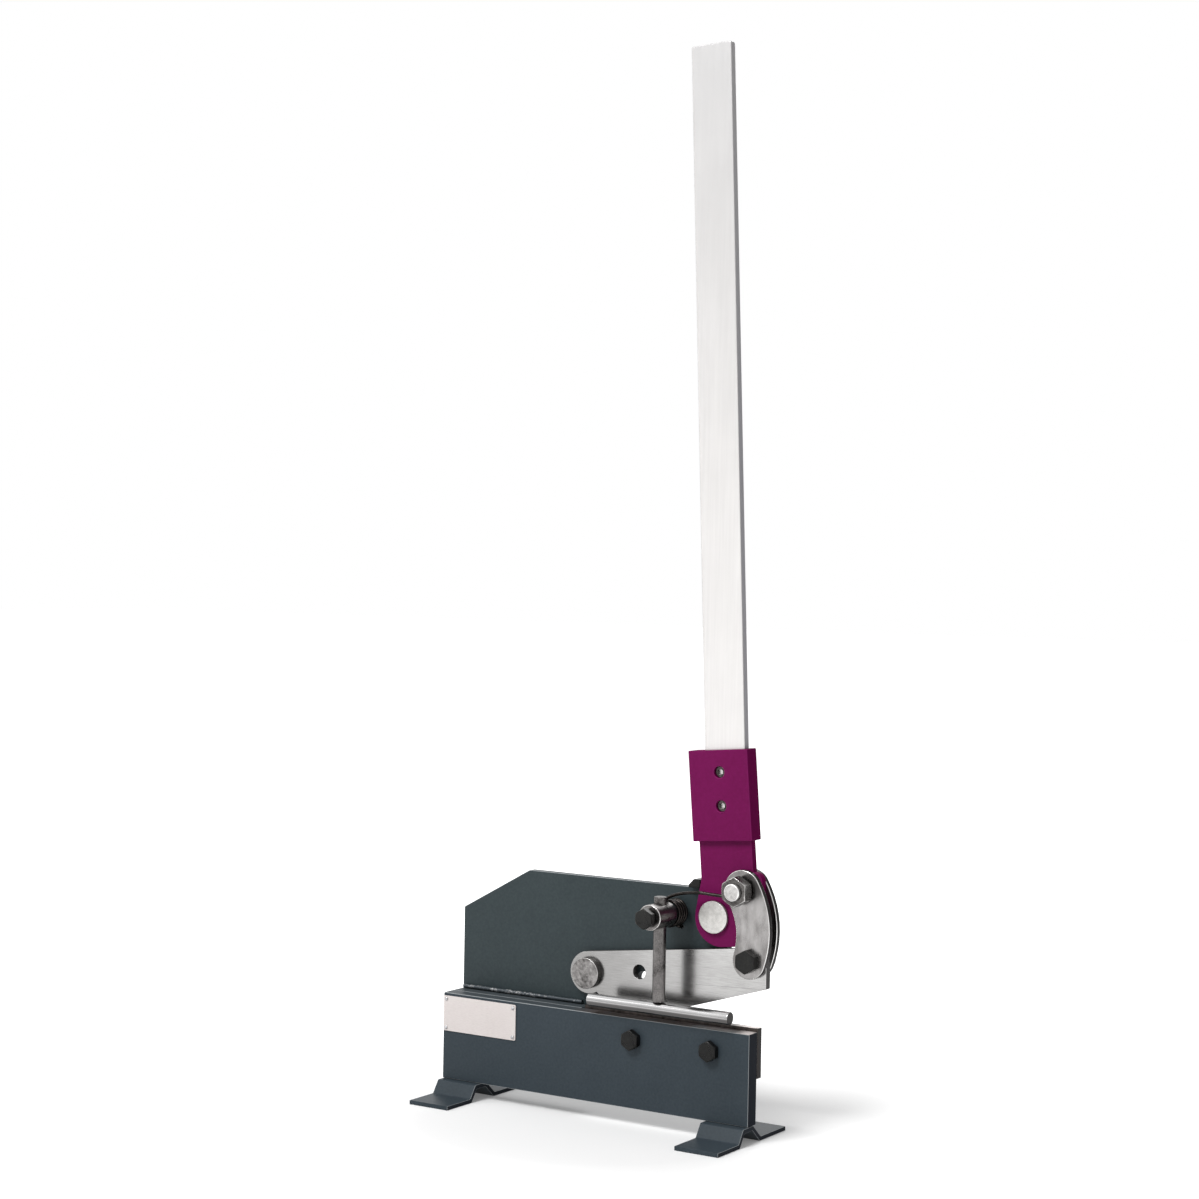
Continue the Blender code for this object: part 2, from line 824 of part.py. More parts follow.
def cross_bore():
    bore = solid_rod("rod_bore", rod_radius + fit_gap, 4 * post_hub_radius, black_steel, frame)
    bore.location = (post_axis.x, -rod_front, post_axis.y)
    return bore


def build_bar_and_rod():
    low = bar_level + bar_radius + fit_gap
    top = post_axis.y + post_hub_radius + rod_top_over
    rod = solid_rod("hold_down_rod", rod_radius, top - low, zinc_steel, hold_axis)
    rod.location = (0, 0, (top + low) / 2 - bar_level)
    bar = solid_rod("hold_down_bar", bar_radius, bar_left_reach + bar_right_reach, turned_steel, hold_axis)
    bar.rotation_euler = (0, math.pi / 2, 0)
    bar.location = ((bar_right_reach - bar_left_reach) / 2, 0, 0)


def coil_ends():
    """Y of the coil's front and back ends, at the wire's middle."""
    return post_hub_back + coil_front_gap, back_front - coil_back_gap


def coil_angle(turned_by):
    return math.radians(coil_front_angle) + 2 * math.pi * turned_by


def coil_point(turned_by):
    front, back = coil_ends()
    angle = coil_angle(turned_by)
    y = front + (back - front) * turned_by / coil_turns
    return Vector((post_axis.x + coil_radius * math.cos(angle), y, post_axis.y + coil_radius * math.sin(angle)))


def coil_tail():
    """Where the wire's back leg enters the back plate: straight on from the last turn."""
    end = coil_point(coil_turns)
    angle = coil_angle(coil_turns)
    heading = Vector((-math.sin(angle), math.cos(angle)))
    return Vector((end.x, end.z)) + tail_reach * heading


def smooth_route(spots, steps):
    """Points on a smooth curve through the given ones."""
    points = []
    for i in range(len(spots) - 1):
        a = spots[max(i - 1, 0)]
        b = spots[i]
        c = spots[i + 1]
        d = spots[min(i + 2, len(spots) - 1)]
        for j in range(steps):
            t = j / steps
            points.append(0.5 * (2 * b + (c - a) * t + (2 * a - 5 * b + 4 * c - d) * t * t
                                 + (3 * b - a - 3 * c + d) * t * t * t))
    points.append(spots[-1])
    return points


def spring_route():
    """Hook under the upper link bolt, arched front leg, coil round the post and back leg."""
    link_front = shear_front - link_thickness
    hook_y = link_front - spring_slot / 2
    hook_radius = bolt16_radius + wire_radius + fit_gap
    hook = arc(link_top, hook_radius, hook_start_angle + hook_sweep, hook_start_angle)
    route = [Vector((spot.x, hook_y, spot.y)) for spot in hook]
    span = link_top - post_axis
    front, back = coil_ends()
    leg = [route[-1]]
    shares = list(zip(leg_along_shares, leg_rise_shares, leg_back_shares))
    for along, rise, depth in reversed(shares):
        leg.append(Vector((post_axis.x + span.x * along, front + (hook_y - front) * depth,
                           post_axis.y + span.y * rise)))
    coil = [coil_point(i / coil_points) for i in range(round(coil_turns * coil_points) + 1)]
    leg.append(coil[0])
    route += smooth_route(leg, leg_steps)[1:-1]
    route += coil
    tail = coil_tail()
    heading = (Vector((tail.x, coil[-1].y, tail.y)) - coil[-1]).normalized()
    inside = Vector((tail.x, coil[-1].y, tail.y)) - tail_bend_radius * heading
    for i in range(tail_bend_points):
        turn = math.pi / 2 * i / (tail_bend_points - 1)
        back = Vector((0, 1 - math.cos(turn), 0))
        route.append(inside + tail_bend_radius * (math.sin(turn) * heading + back))
    route.append(Vector((tail.x, back_front + tail_depth, tail.y)))
    return route


def least_gap(route):
    """The wire's least gap to itself, between points more than half a turn apart along it."""
    along = [0]
    for i in range(1, len(route)):
        along.append(along[-1] + (route[i] - route[i - 1]).length)
    gaps = []
    for i in range(len(route)):
        for j in range(i + 1, len(route)):
            if along[j] - along[i] > math.pi * coil_radius:
                gaps.append((route[j] - route[i]).length - 2 * wire_radius)
    return min(gaps)


def build_spring():
    route = spring_route()
    wire("return_spring", route, wire_radius, spring_steel, wire_fineness)
    print(f"return_spring: least gap to itself {least_gap(route):.5f} m")


def build_lever():
    holes = [
        circle(lever_pivot, pin_radius + fit_gap, round_sides),
        circle(link_top, bolt16_radius + fit_gap, round_sides),
    ]
    flat_piece("lever_plate", lever_outline(), holes, shear_back, upper_blade_thickness, lever_paint,
               lever_axis, lever_pivot)
    build_socket()
    build_handle()
    build_link_bolt()


def lever_object(made, up, y, side):
    """Set a piece by its place on the lever and lean it with the lever."""
    spot = up * lever_up + side * lever_side
    made.location = (spot.x, y, spot.y)


def lever_block(name, width, depth, height, kind):
    mesh = bpy.data.meshes.new(name)
    work = bmesh.new()
    bmesh.ops.create_cube(work, size=1)
    bmesh.ops.scale(work, verts=work.verts, vec=(width, depth, height))
    work.to_mesh(mesh)
    work.free()
    return add_object(name, mesh, kind, lever_axis)


def build_socket():
    inner = upper_blade_thickness + 2 * (fit_gap + socket_play)
    depth = inner + 2 * socket_face_wall
    middle = socket_width / 2 - socket_left
    y = shear_back + upper_blade_thickness / 2
    up = socket_bottom + socket_height / 2
    socket = lever_block("lever_socket", socket_width, depth, socket_height, lever_paint)
    lever_object(socket, up, y, middle)
    socket.rotation_euler = (0, -lean, 0)
    hollow = lever_block("socket_hollow", socket_width - 2 * socket_side_wall, inner,
                         socket_height + 2 * cut_overrun, lever_paint)
    lever_object(hollow, up, y, middle)
    hollow.rotation_euler = (0, -lean, 0)
    boolean(socket, hollow, "DIFFERENCE")
    front = y - depth / 2
    for i in range(2):
        spot = on_lever(socket_bottom + set_screw_low + set_screw_pitch * i, set_screw_offset)
        bore = round_tool(f"set_screw_bore_{i}", set_screw_radius + fit_gap, front - cut_overrun,
                          front + socket_face_wall + fit_gap, *spot, lever_axis, lever_at)
        boolean(socket, bore, "DIFFERENCE")
        screw = round_tool(f"set_screw_{i + 1}", set_screw_radius, front + set_screw_recess,
                           shear_back - fit_gap + socket_play, *spot, lever_axis, lever_at)
        key = hex_piece(f"set_screw_key_{i}", set_screw_socket, front + set_screw_recess - cut_overrun,
                        set_screw_socket_depth + cut_overrun, *spot, black_steel, lever_axis, lever_at)
        boolean(screw, key, "DIFFERENCE")


def build_handle():
    turn = math.radians(lever_lean - handle_turn)
    up = Vector((-math.sin(turn), math.cos(turn)))
    start = handle_bottom * lever_up + handle_offset * lever_side
    middle = start + up * handle_length / 2
    half = handle_width / 2
    ends = (handle_length / 2, -handle_length / 2)
    corners = [
        (-half, ends[0], handle_corner),
        (half, ends[0], handle_corner),
        (half, ends[1], handle_corner),
        (-half, ends[1], handle_corner),
    ]
    bar = flat_piece("handle_bar", rounded(corners), [], 0, upper_blade_thickness, handle_steel,
                     lever_axis, (0, 0))
    bar.rotation_euler = (math.pi / 2, -turn, 0)
    bar.location = (middle.x, shear_back + upper_blade_thickness / 2 + socket_play, middle.y)


def build_link_bolt():
    link_front = shear_front - link_thickness
    head_front = back_front + link_thickness + fit_gap
    nut_back = link_front - spring_slot
    hex_bolt("upper_link_bolt", nut16_flats, head_front + bolt16_head, head_front, bolt16_radius,
             nut_back - nut16_height - link_bolt_front_over, *link_top, zinc_steel, lever_axis, lever_at)
    nut("upper_link_nut", nut16_flats, nut_back - nut16_height, nut16_height, bolt16_radius,
        *link_top, zinc_steel, lever_axis, lever_at)


def build_links():
    holes = [
        circle(link_top, bolt16_radius + fit_gap, round_sides),
        circle(link_low, bolt12_radius + fit_gap, round_sides),
    ]
    link_front = shear_front - link_thickness
    for name, front in (("link_front", link_front), ("link_rear", back_front)):
        flat_piece(name, link_outline(), holes, front, link_thickness, ground_steel, link_axis, link_top)
    washer_front = back_front + link_thickness + fit_gap
    nut_front = washer_front + washer_thickness + fit_gap
    end = nut_front + lock_nut_height + thread_over
    hex_bolt("lower_link_bolt", nut12_flats, link_front - fit_gap - bolt12_head, link_front - fit_gap,
             bolt12_radius, end, *link_low, black_steel, link_axis, link_at)
    ring("lower_link_washer", washer12_radius, bolt12_radius + fit_gap, washer_front, washer_thickness,
         *link_low, zinc_steel, link_axis, link_at)
    nut("lower_link_nut", nut12_flats, nut_front, lock_nut_height, bolt12_radius, *link_low,
        zinc_steel, link_axis, link_at)


build_base()
build_stop()
build_name_plate()
build_lower_blade()
build_upper_blade()
build_pins()
build_hold_down()
build_spring()
build_lever()
build_links()
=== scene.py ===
import math

import bpy
from mathutils import Matrix, Vector


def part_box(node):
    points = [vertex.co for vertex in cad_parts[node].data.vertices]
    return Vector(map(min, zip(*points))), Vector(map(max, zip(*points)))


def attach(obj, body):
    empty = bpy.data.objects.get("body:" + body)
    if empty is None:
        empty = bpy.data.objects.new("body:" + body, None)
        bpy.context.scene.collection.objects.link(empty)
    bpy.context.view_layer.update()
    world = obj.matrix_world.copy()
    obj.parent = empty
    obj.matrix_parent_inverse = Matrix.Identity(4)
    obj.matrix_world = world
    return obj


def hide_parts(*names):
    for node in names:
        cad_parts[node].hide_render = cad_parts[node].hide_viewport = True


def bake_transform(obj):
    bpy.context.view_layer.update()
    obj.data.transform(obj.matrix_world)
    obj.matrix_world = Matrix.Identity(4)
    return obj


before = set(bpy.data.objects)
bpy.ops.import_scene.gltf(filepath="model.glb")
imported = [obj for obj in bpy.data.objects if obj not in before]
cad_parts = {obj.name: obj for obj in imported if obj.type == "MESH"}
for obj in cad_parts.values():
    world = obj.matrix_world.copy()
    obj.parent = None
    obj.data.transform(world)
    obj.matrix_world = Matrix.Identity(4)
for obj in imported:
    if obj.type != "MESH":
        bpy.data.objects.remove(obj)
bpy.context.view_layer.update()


# Camera. It stands about two metres off, to the right of the machine and a little below the middle
# of the handle, as the photographer's did.
camera_place = Vector((1.1772, -1.8424, 0.5203))
camera_turn = math.radians(32.76)
camera_dip = math.radians(0.89)
camera_roll = math.radians(0.97)
camera_lens = 70.21
sensor_width = 36.0

ahead = Vector((-math.sin(camera_turn) * math.cos(camera_dip), math.cos(camera_turn) * math.cos(camera_dip),
                -math.sin(camera_dip)))
level_right = Vector((math.cos(camera_turn), math.sin(camera_turn), 0))
level_up = level_right.cross(ahead)
picture_right = math.cos(camera_roll) * level_right + math.sin(camera_roll) * level_up
picture_up = math.cos(camera_roll) * level_up - math.sin(camera_roll) * level_right
bpy.ops.object.camera_add()
camera = bpy.context.object
camera.name = "camera"
turn = Matrix((picture_right, picture_up, -ahead)).transposed()
camera.matrix_world = Matrix.Translation(camera_place) @ turn.to_4x4()
camera.data.lens = camera_lens
camera.data.sensor_width = sensor_width
bpy.context.scene.camera = camera


# Studio. A white floor that keeps a soft shadow, two large soft lamps and a pale sky that metal can
# mirror, at a level where a colour looks as it is written.
floor_size = 30.0
floor_colour = (0.84, 0.84, 0.84, 1.0)
glow_near = 0.14
glow_far = 0.85
near_reach = 0.17
far_reach = 0.55
sky_seen = 1.0
sky_light = 0.36
lamps = {
    "key_lamp": ((-0.4, -2.2, 2.9), 1.3, 92.0),
    "fill_lamp": ((-2.4, -1.3, 1.8), 1.8, 14.0),
    "rear_lamp": ((-0.6, 2.2, 2.0), 1.6, 27.0),
}
lamp_aim = Vector((0.0, 0.0, 0.25))

bpy.ops.mesh.primitive_plane_add(size=floor_size)
floor = bpy.context.object
floor.name = "floor"
paper = bpy.data.materials.new("white_floor")
paper.use_nodes = True
nodes = paper.node_tree.nodes
links = paper.node_tree.links
nodes.clear()
seen = nodes.new("ShaderNodeLightPath")
matte = nodes.new("ShaderNodeBsdfDiffuse")
matte.inputs["Color"].default_value = floor_colour
glow = nodes.new("ShaderNodeEmission")
place = nodes.new("ShaderNodeTexCoord")
reach = nodes.new("ShaderNodeVectorMath")
reach.operation = "LENGTH"
links.new(place.outputs["Object"], reach.inputs[0])
rise = nodes.new("ShaderNodeMapRange")
rise.inputs["From Min"].default_value = near_reach
rise.inputs["From Max"].default_value = far_reach
rise.inputs["To Min"].default_value = glow_near
rise.inputs["To Max"].default_value = glow_far
links.new(reach.outputs["Value"], rise.inputs["Value"])
links.new(rise.outputs["Result"], glow.inputs["Strength"])
dark = nodes.new("ShaderNodeEmission")
dark.inputs["Strength"].default_value = 0.0
either = nodes.new("ShaderNodeMath")
either.operation = "MAXIMUM"
both = nodes.new("ShaderNodeMixShader")
total = nodes.new("ShaderNodeAddShader")
out = nodes.new("ShaderNodeOutputMaterial")
links.new(seen.outputs["Is Camera Ray"], either.inputs[0])
links.new(seen.outputs["Is Glossy Ray"], either.inputs[1])
links.new(either.outputs[0], both.inputs["Fac"])
links.new(dark.outputs[0], both.inputs[1])
links.new(glow.outputs[0], both.inputs[2])
links.new(matte.outputs[0], total.inputs[0])
links.new(both.outputs[0], total.inputs[1])
links.new(total.outputs[0], out.inputs["Surface"])
floor.data.materials.append(paper)

sky = bpy.data.worlds.new("studio")
bpy.context.scene.world = sky
sky.use_nodes = True
nodes = sky.node_tree.nodes
links = sky.node_tree.links
nodes.clear()
seen = nodes.new("ShaderNodeLightPath")
first = nodes.new("ShaderNodeMath")
first.operation = "MAXIMUM"
second = nodes.new("ShaderNodeMath")
second.operation = "MAXIMUM"
soft = nodes.new("ShaderNodeBackground")
soft.inputs["Strength"].default_value = sky_light
bright = nodes.new("ShaderNodeBackground")
bright.inputs["Color"].default_value = (1.0, 1.0, 1.0, 1.0)
bright.inputs["Strength"].default_value = sky_seen
soft.inputs["Color"].default_value = (1.0, 1.0, 1.0, 1.0)
pick = nodes.new("ShaderNodeMixShader")
out = nodes.new("ShaderNodeOutputWorld")
links.new(seen.outputs["Is Camera Ray"], first.inputs[0])
links.new(seen.outputs["Is Glossy Ray"], first.inputs[1])
links.new(first.outputs[0], second.inputs[0])
links.new(seen.outputs["Is Transmission Ray"], second.inputs[1])
links.new(second.outputs[0], pick.inputs["Fac"])
links.new(soft.outputs[0], pick.inputs[1])
links.new(bright.outputs[0], pick.inputs[2])
links.new(pick.outputs[0], out.inputs["Surface"])

for name, (place, size, power) in lamps.items():
    bpy.ops.object.light_add(type="AREA", location=place)
    lamp = bpy.context.object
    lamp.name = name
    lamp.data.size = size
    lamp.data.energy = power
    lamp.rotation_euler = (lamp_aim - Vector(place)).to_track_quat("-Z", "Y").to_euler()

bpy.context.scene.view_settings.view_transform = "Standard"


# Base plates. Three steel plates, sawn and flame cut, their edges broken with a file, then sprayed
# blue grey all together. The paint is thin, so it dulls unevenly; the broken edges carry a painted
# highlight.
plate_edge = 0.0007
plates = ("base_front_plate", "base_spacer", "back_plate")
blue_grey_deep = (0.028, 0.039, 0.048)
blue_grey_pale = (0.041, 0.054, 0.065)
green_grey = ((0.028, 0.039, 0.043), (0.040, 0.054, 0.058))
blue_grey_edge_highlight = (0.40, 0.42, 0.43)
blue_grey_top_painted_light = (0.13, 0.14, 0.145)
end_painted_shade = (0.012, 0.014, 0.020)
paint_gloss = 0.15


def select_only(piece):
    bpy.ops.object.select_all(action="DESELECT")
    piece.select_set(True)
    bpy.context.view_layer.objects.active = piece


def copy_of(node):
    """A copy of a CAD node as one clean mesh: doubles merged and flat faces made whole."""
    piece = bpy.data.objects.new(node + "_fine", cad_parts[node].data.copy())
    bpy.context.scene.collection.objects.link(piece)
    piece.data.materials.clear()
    select_only(piece)
    bpy.ops.object.mode_set(mode="EDIT")
    bpy.ops.mesh.select_all(action="SELECT")
    bpy.ops.mesh.remove_doubles(threshold=0.00001)
    bpy.ops.mesh.dissolve_limited(angle_limit=math.radians(0.5))
    bpy.ops.object.mode_set(mode="OBJECT")
    return piece


def break_edges(piece, width, steps=2, angle=30):
    select_only(piece)
    bevel = piece.modifiers.new("broken_edges", "BEVEL")
    bevel.width = width
    bevel.segments = steps
    bevel.limit_method = "ANGLE"
    bevel.angle_limit = math.radians(angle)
    bevel.use_clamp_overlap = False
    bpy.ops.object.modifier_apply(modifier=bevel.name)


def settle(piece, name, body, node_names, surface):
    """Fix a finished piece in place: smooth shading, its surface, its body and the nodes it stands for."""
    select_only(piece)
    bpy.ops.object.transform_apply(location=True, rotation=True, scale=True)
    bpy.ops.object.shade_smooth_by_angle(angle=math.radians(50))
    even = piece.modifiers.new("flat_faces_stay_flat", "WEIGHTED_NORMAL")
    even.keep_sharp = True
    bpy.ops.object.modifier_apply(modifier=even.name)
    piece.name = name
    piece.data.materials.clear()
    piece.data.materials.append(surface)
    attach(piece, body)
    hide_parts(*node_names)
    return piece


def surface_of(name, low, high, rough, metallic, spread, grain, stretch, bump, patch=9.0):
    """A finish with two tones, an uneven gloss and a fine grain that can run one way."""
    made = bpy.data.materials.new(name)
    made.use_nodes = True
    nodes = made.node_tree.nodes
    links = made.node_tree.links
    shader = nodes["Principled BSDF"]
    shader.inputs["Metallic"].default_value = metallic
    place = nodes.new("ShaderNodeTexCoord")
    run = nodes.new("ShaderNodeMapping")
    run.inputs["Scale"].default_value = stretch
    links.new(place.outputs["Object"], run.inputs["Vector"])
    cloud = nodes.new("ShaderNodeTexNoise")
    cloud.inputs["Scale"].default_value = patch
    cloud.inputs["Detail"].default_value = 6.0
    cloud.inputs["Roughness"].default_value = 0.6
    links.new(place.outputs["Object"], cloud.inputs["Vector"])
    fine = nodes.new("ShaderNodeTexNoise")
    fine.inputs["Scale"].default_value = grain
    fine.inputs["Detail"].default_value = 4.0
    links.new(run.outputs["Vector"], fine.inputs["Vector"])
    blend = nodes.new("ShaderNodeMix")
    blend.data_type = "FLOAT"
    blend.inputs["Factor"].default_value = 0.45
    links.new(cloud.outputs["Fac"], blend.inputs["A"])
    links.new(fine.outputs["Fac"], blend.inputs["B"])
    tones = nodes.new("ShaderNodeValToRGB")
    tones.color_ramp.elements[0].position = 0.36
    tones.color_ramp.elements[0].color = (*low, 1.0)
    tones.color_ramp.elements[1].position = 0.64
    tones.color_ramp.elements[1].color = (*high, 1.0)
    links.new(blend.outputs["Result"], tones.inputs["Fac"])
    links.new(tones.outputs["Color"], shader.inputs["Base Color"])
    gloss = nodes.new("ShaderNodeMapRange")
    gloss.inputs["From Min"].default_value = 0.3
    gloss.inputs["From Max"].default_value = 0.7
    gloss.inputs["To Min"].default_value = rough - spread
    gloss.inputs["To Max"].default_value = rough + spread
    links.new(blend.outputs["Result"], gloss.inputs["Value"])
    links.new(gloss.outputs["Result"], shader.inputs["Roughness"])
    relief = nodes.new("ShaderNodeBump")
    relief.inputs["Strength"].default_value = bump
    relief.inputs["Distance"].default_value = 0.0002
    links.new(fine.outputs["Fac"], relief.inputs["Height"])
    links.new(relief.outputs["Normal"], shader.inputs["Normal"])
    return made


def matt_where(made, amount):
    """Take the shine off a finish where amount nears one, so that a side seen at a slant stays dark."""
    nodes = made.node_tree.nodes
    links = made.node_tree.links
    for name in ("Metallic", "Specular IOR Level"):
        socket = nodes["Principled BSDF"].inputs[name]
        fade = nodes.new("ShaderNodeMath")
        fade.operation = "MULTIPLY_ADD"
        fade.inputs[1].default_value = -socket.default_value
        fade.inputs[2].default_value = socket.default_value
        links.new(amount, fade.inputs[0])
        if socket.is_linked:
            scale = nodes.new("ShaderNodeMath")
            scale.operation = "MINIMUM"
            links.new(socket.links[0].from_socket, scale.inputs[0])
            links.new(fade.outputs[0], scale.inputs[1])
            links.new(scale.outputs[0], socket)
        else:
            links.new(fade.outputs[0], socket)


side_facing = (0.60, 0.90)
rim_facing = (0.04, 0.14)


def edge_tones(made, side, side_share, rim, rim_share, across="Y"):
    """Lay a painted shade on a flat piece's cut sides and a painted highlight on its broken edges."""
    nodes = made.node_tree.nodes
    links = made.node_tree.links
    shader = nodes["Principled BSDF"]
    facing = nodes.new("ShaderNodeSeparateXYZ")
    links.new(nodes["Texture Coordinate"].outputs["Normal"], facing.inputs[0])
    square = nodes.new("ShaderNodeMath")
    square.operation = "MULTIPLY"
    links.new(facing.outputs[across], square.inputs[0])
    links.new(facing.outputs[across], square.inputs[1])
    rest = nodes.new("ShaderNodeMath")
    rest.operation = "SUBTRACT"
    rest.inputs[0].default_value = 1.0
    links.new(square.outputs[0], rest.inputs[1])
    both = nodes.new("ShaderNodeMath")
    both.operation = "MULTIPLY"
    links.new(square.outputs[0], both.inputs[0])
    links.new(rest.outputs[0], both.inputs[1])
    for source, start, stop, share, tone in (
        (rest, *side_facing, side_share, side),
        (both, *rim_facing, rim_share, rim),
    ):
        amount = nodes.new("ShaderNodeMapRange")
        amount.inputs["From Min"].default_value = start
        amount.inputs["From Max"].default_value = stop
        amount.inputs["To Max"].default_value = share
        links.new(source.outputs[0], amount.inputs["Value"])
        if source is rest and share > 0:
            matt_where(made, amount.outputs["Result"])
        under = shader.inputs["Base Color"].links[0].from_socket
        over = nodes.new("ShaderNodeMix")
        over.data_type = "RGBA"
        over.inputs["B"].default_value = (*tone, 1.0)
        links.new(amount.outputs["Result"], over.inputs["Factor"])
        links.new(under, over.inputs["A"])
        links.new(over.outputs["Result"], shader.inputs["Base Color"])
    return made


def tone_by(made, kind, axis, start, stop, share, tone, matt=False):
    """Lay a tone over a finish by a piece's place ("Object") or by the way it faces ("Normal")."""
    nodes = made.node_tree.nodes
    links = made.node_tree.links
    base = nodes["Principled BSDF"].inputs["Base Color"]
    split = nodes.new("ShaderNodeSeparateXYZ")
    links.new(nodes["Texture Coordinate"].outputs[kind], split.inputs[0])
    amount = nodes.new("ShaderNodeMapRange")
    amount.inputs["From Min"].default_value = start
    amount.inputs["From Max"].default_value = stop
    amount.inputs["To Max"].default_value = share
    links.new(split.outputs[axis], amount.inputs["Value"])
    if matt:
        matt_where(made, amount.outputs["Result"])
    under = base.links[0].from_socket
    over = nodes.new("ShaderNodeMix")
    over.data_type = "RGBA"
    over.inputs["B"].default_value = (*tone, 1.0)
    links.new(amount.outputs["Result"], over.inputs["Factor"])
    links.new(under, over.inputs["A"])
    links.new(over.outputs["Result"], base)
    return made


upward_facing = (0.5, 0.9)
patch_blur = 0.06


def wear_and_shadow_on_top(made, start_x, stop_x, share, tone, patch=45.0, bare=0.42):
    """Lay a tone on a finish's upward faces, in patches that grow from start_x to stop_x: bare worn metal,
    and on the ledge under the round bar wear together with the bar's painted shadow.
    """
    nodes = made.node_tree.nodes
    links = made.node_tree.links
    shader = nodes["Principled BSDF"]
    place = nodes["Texture Coordinate"]
    facing = nodes.new("ShaderNodeSeparateXYZ")
    links.new(place.outputs["Normal"], facing.inputs[0])
    spot = nodes.new("ShaderNodeSeparateXYZ")
    links.new(place.outputs["Object"], spot.inputs[0])
    blotch = nodes.new("ShaderNodeTexNoise")
    blotch.inputs["Scale"].default_value = patch
    blotch.inputs["Detail"].default_value = 5.0
    links.new(place.outputs["Object"], blotch.inputs["Vector"])
    amounts = []
    for source, start, stop in (
        (facing.outputs["Z"], *upward_facing),
        (spot.outputs["X"], start_x, stop_x),
        (blotch.outputs["Fac"], bare - patch_blur, bare + patch_blur),
    ):
        part = nodes.new("ShaderNodeMapRange")
        part.inputs["From Min"].default_value = start
        part.inputs["From Max"].default_value = stop
        links.new(source, part.inputs["Value"])
        amounts.append(part.outputs["Result"])
    amount = None
    for part in amounts:
        times = nodes.new("ShaderNodeMath")
        times.operation = "MULTIPLY"
        links.new(part, times.inputs[0])
        if amount is None:
            times.inputs[1].default_value = share
        else:
            links.new(amount, times.inputs[1])
        amount = times.outputs[0]
    under = shader.inputs["Base Color"].links[0].from_socket
    over = nodes.new("ShaderNodeMix")
    over.data_type = "RGBA"
    over.inputs["B"].default_value = (*tone, 1.0)
    links.new(amount, over.inputs["Factor"])
    links.new(under, over.inputs["A"])
    links.new(over.outputs["Result"], shader.inputs["Base Color"])
    return made


top_facing = (0.7, 0.95)
end_facing = (0.75, 0.9)
strap_end_facing = (0.6, 0.9)
ledge_wear_and_bar_shadow = (-0.030, 0.000)
end_wear = (0.148, 0.160)
top_patch_scale = 60.0
base_paint = surface_of("blue_grey_paint_sprayed", blue_grey_deep, blue_grey_pale, 0.42, 0.0, 0.08,
                        420.0, (1.0, 1.0, 1.0), 0.15)
base_paint.node_tree.nodes["Principled BSDF"].inputs["Specular IOR Level"].default_value = paint_gloss
strap_paint = base_paint.copy()
strap_paint.name = "blue_grey_paint_on_straps"
# Painted light: upward faces get a lighter tone, as if lit from above.
tone_by(base_paint, "Normal", "Z", *top_facing, 0.6, blue_grey_top_painted_light)
# Painted shade on the cut sides, which are made darker and matt, and a painted highlight on the broken
# edges.
edge_tones(base_paint, blue_grey_deep, 0.5, blue_grey_edge_highlight, 0.8)
# The straps get only the painted highlight on their broken edges.
edge_tones(strap_paint, blue_grey_deep, 0.0, blue_grey_edge_highlight, 0.9, "X")
# Painted shade: the straps' right-hand end faces are darker and matt.
tone_by(strap_paint, "Normal", "X", *strap_end_facing, 0.8, end_painted_shade, True)
oily_steel_and_bar_shadow = (0.085, 0.066, 0.060)
bare_steel = (0.62, 0.56, 0.54)
front_paint = base_paint.copy()
front_paint.name = "blue_grey_paint_worn_and_shaded"
# The ledge top under the round bar: oily bare steel, darkened as well by the bar's painted shadow.
wear_and_shadow_on_top(front_paint, *ledge_wear_and_bar_shadow, 0.85, oily_steel_and_bar_shadow, top_patch_scale, 0.40)
wear_and_shadow_on_top(front_paint, *end_wear, 0.8, bare_steel, top_patch_scale, 0.44)
# Painted shade: the front plate's right-hand end face is darker and matt.
tone_by(front_paint, "Normal", "X", *end_facing, 0.9, end_painted_shade, True)
for element, tone in zip(base_paint.node_tree.nodes["Color Ramp"].color_ramp.elements, green_grey):
    element.color = (*tone, 1.0)
for node in plates:
    piece = copy_of(node)
    break_edges(piece, plate_edge)
    paint = front_paint if node == "base_front_plate" else base_paint
    settle(piece, node + "_painted", "base", [node], paint)


# Feet. Two flat straps bent over a step so that their toes lie on the bench, welded under the
# front plate and painted with it.
strap_edge = 0.0005
for node in ("foot_strap_left", "foot_strap_right"):
    piece = copy_of(node)
    break_edges(piece, strap_edge, 2, 50)
    settle(piece, node + "_painted", "base", [node], strap_paint)


# Weld bead. One pass along the ledge, laid in small overlapping puddles and painted over, with the
# paint rubbed off its crown.
bead_low, bead_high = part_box("weld_bead")
bead_radius = (bead_high.z - bead_low.z) / 2
puddle_pitch = 0.0042
puddle_points = 6
puddle_swell = 0.10
bead_length = bead_high.x - bead_low.x
bead_count = round(bead_length / puddle_pitch) * puddle_points
bead_line = bpy.data.curves.new("weld_line", "CURVE")
bead_line.dimensions = "3D"
bead_line.bevel_depth = bead_radius
bead_line.bevel_resolution = 4
bead_line.use_fill_caps = True
run = bead_line.splines.new("POLY")
run.points.add(bead_count)
for i, point in enumerate(run.points):
    share = i / bead_count
    phase = (i % puddle_points) / puddle_points
    point.co = (bead_low.x + bead_length * share, (bead_low.y + bead_high.y) / 2,
                (bead_low.z + bead_high.z) / 2, 1.0)
    point.radius = 1.0 - puddle_swell * phase - puddle_swell * (math.sin(share * 31) + 1) / 2
bead = bpy.data.objects.new("weld_run", bead_line)
bpy.context.scene.collection.objects.link(bead)
select_only(bead)
bpy.ops.object.convert(target="MESH")
bead = bpy.context.object
bpy.ops.object.mode_set(mode="EDIT")
bpy.ops.mesh.select_all(action="SELECT")
bpy.ops.mesh.remove_doubles(threshold=0.00001)
bpy.ops.object.mode_set(mode="OBJECT")
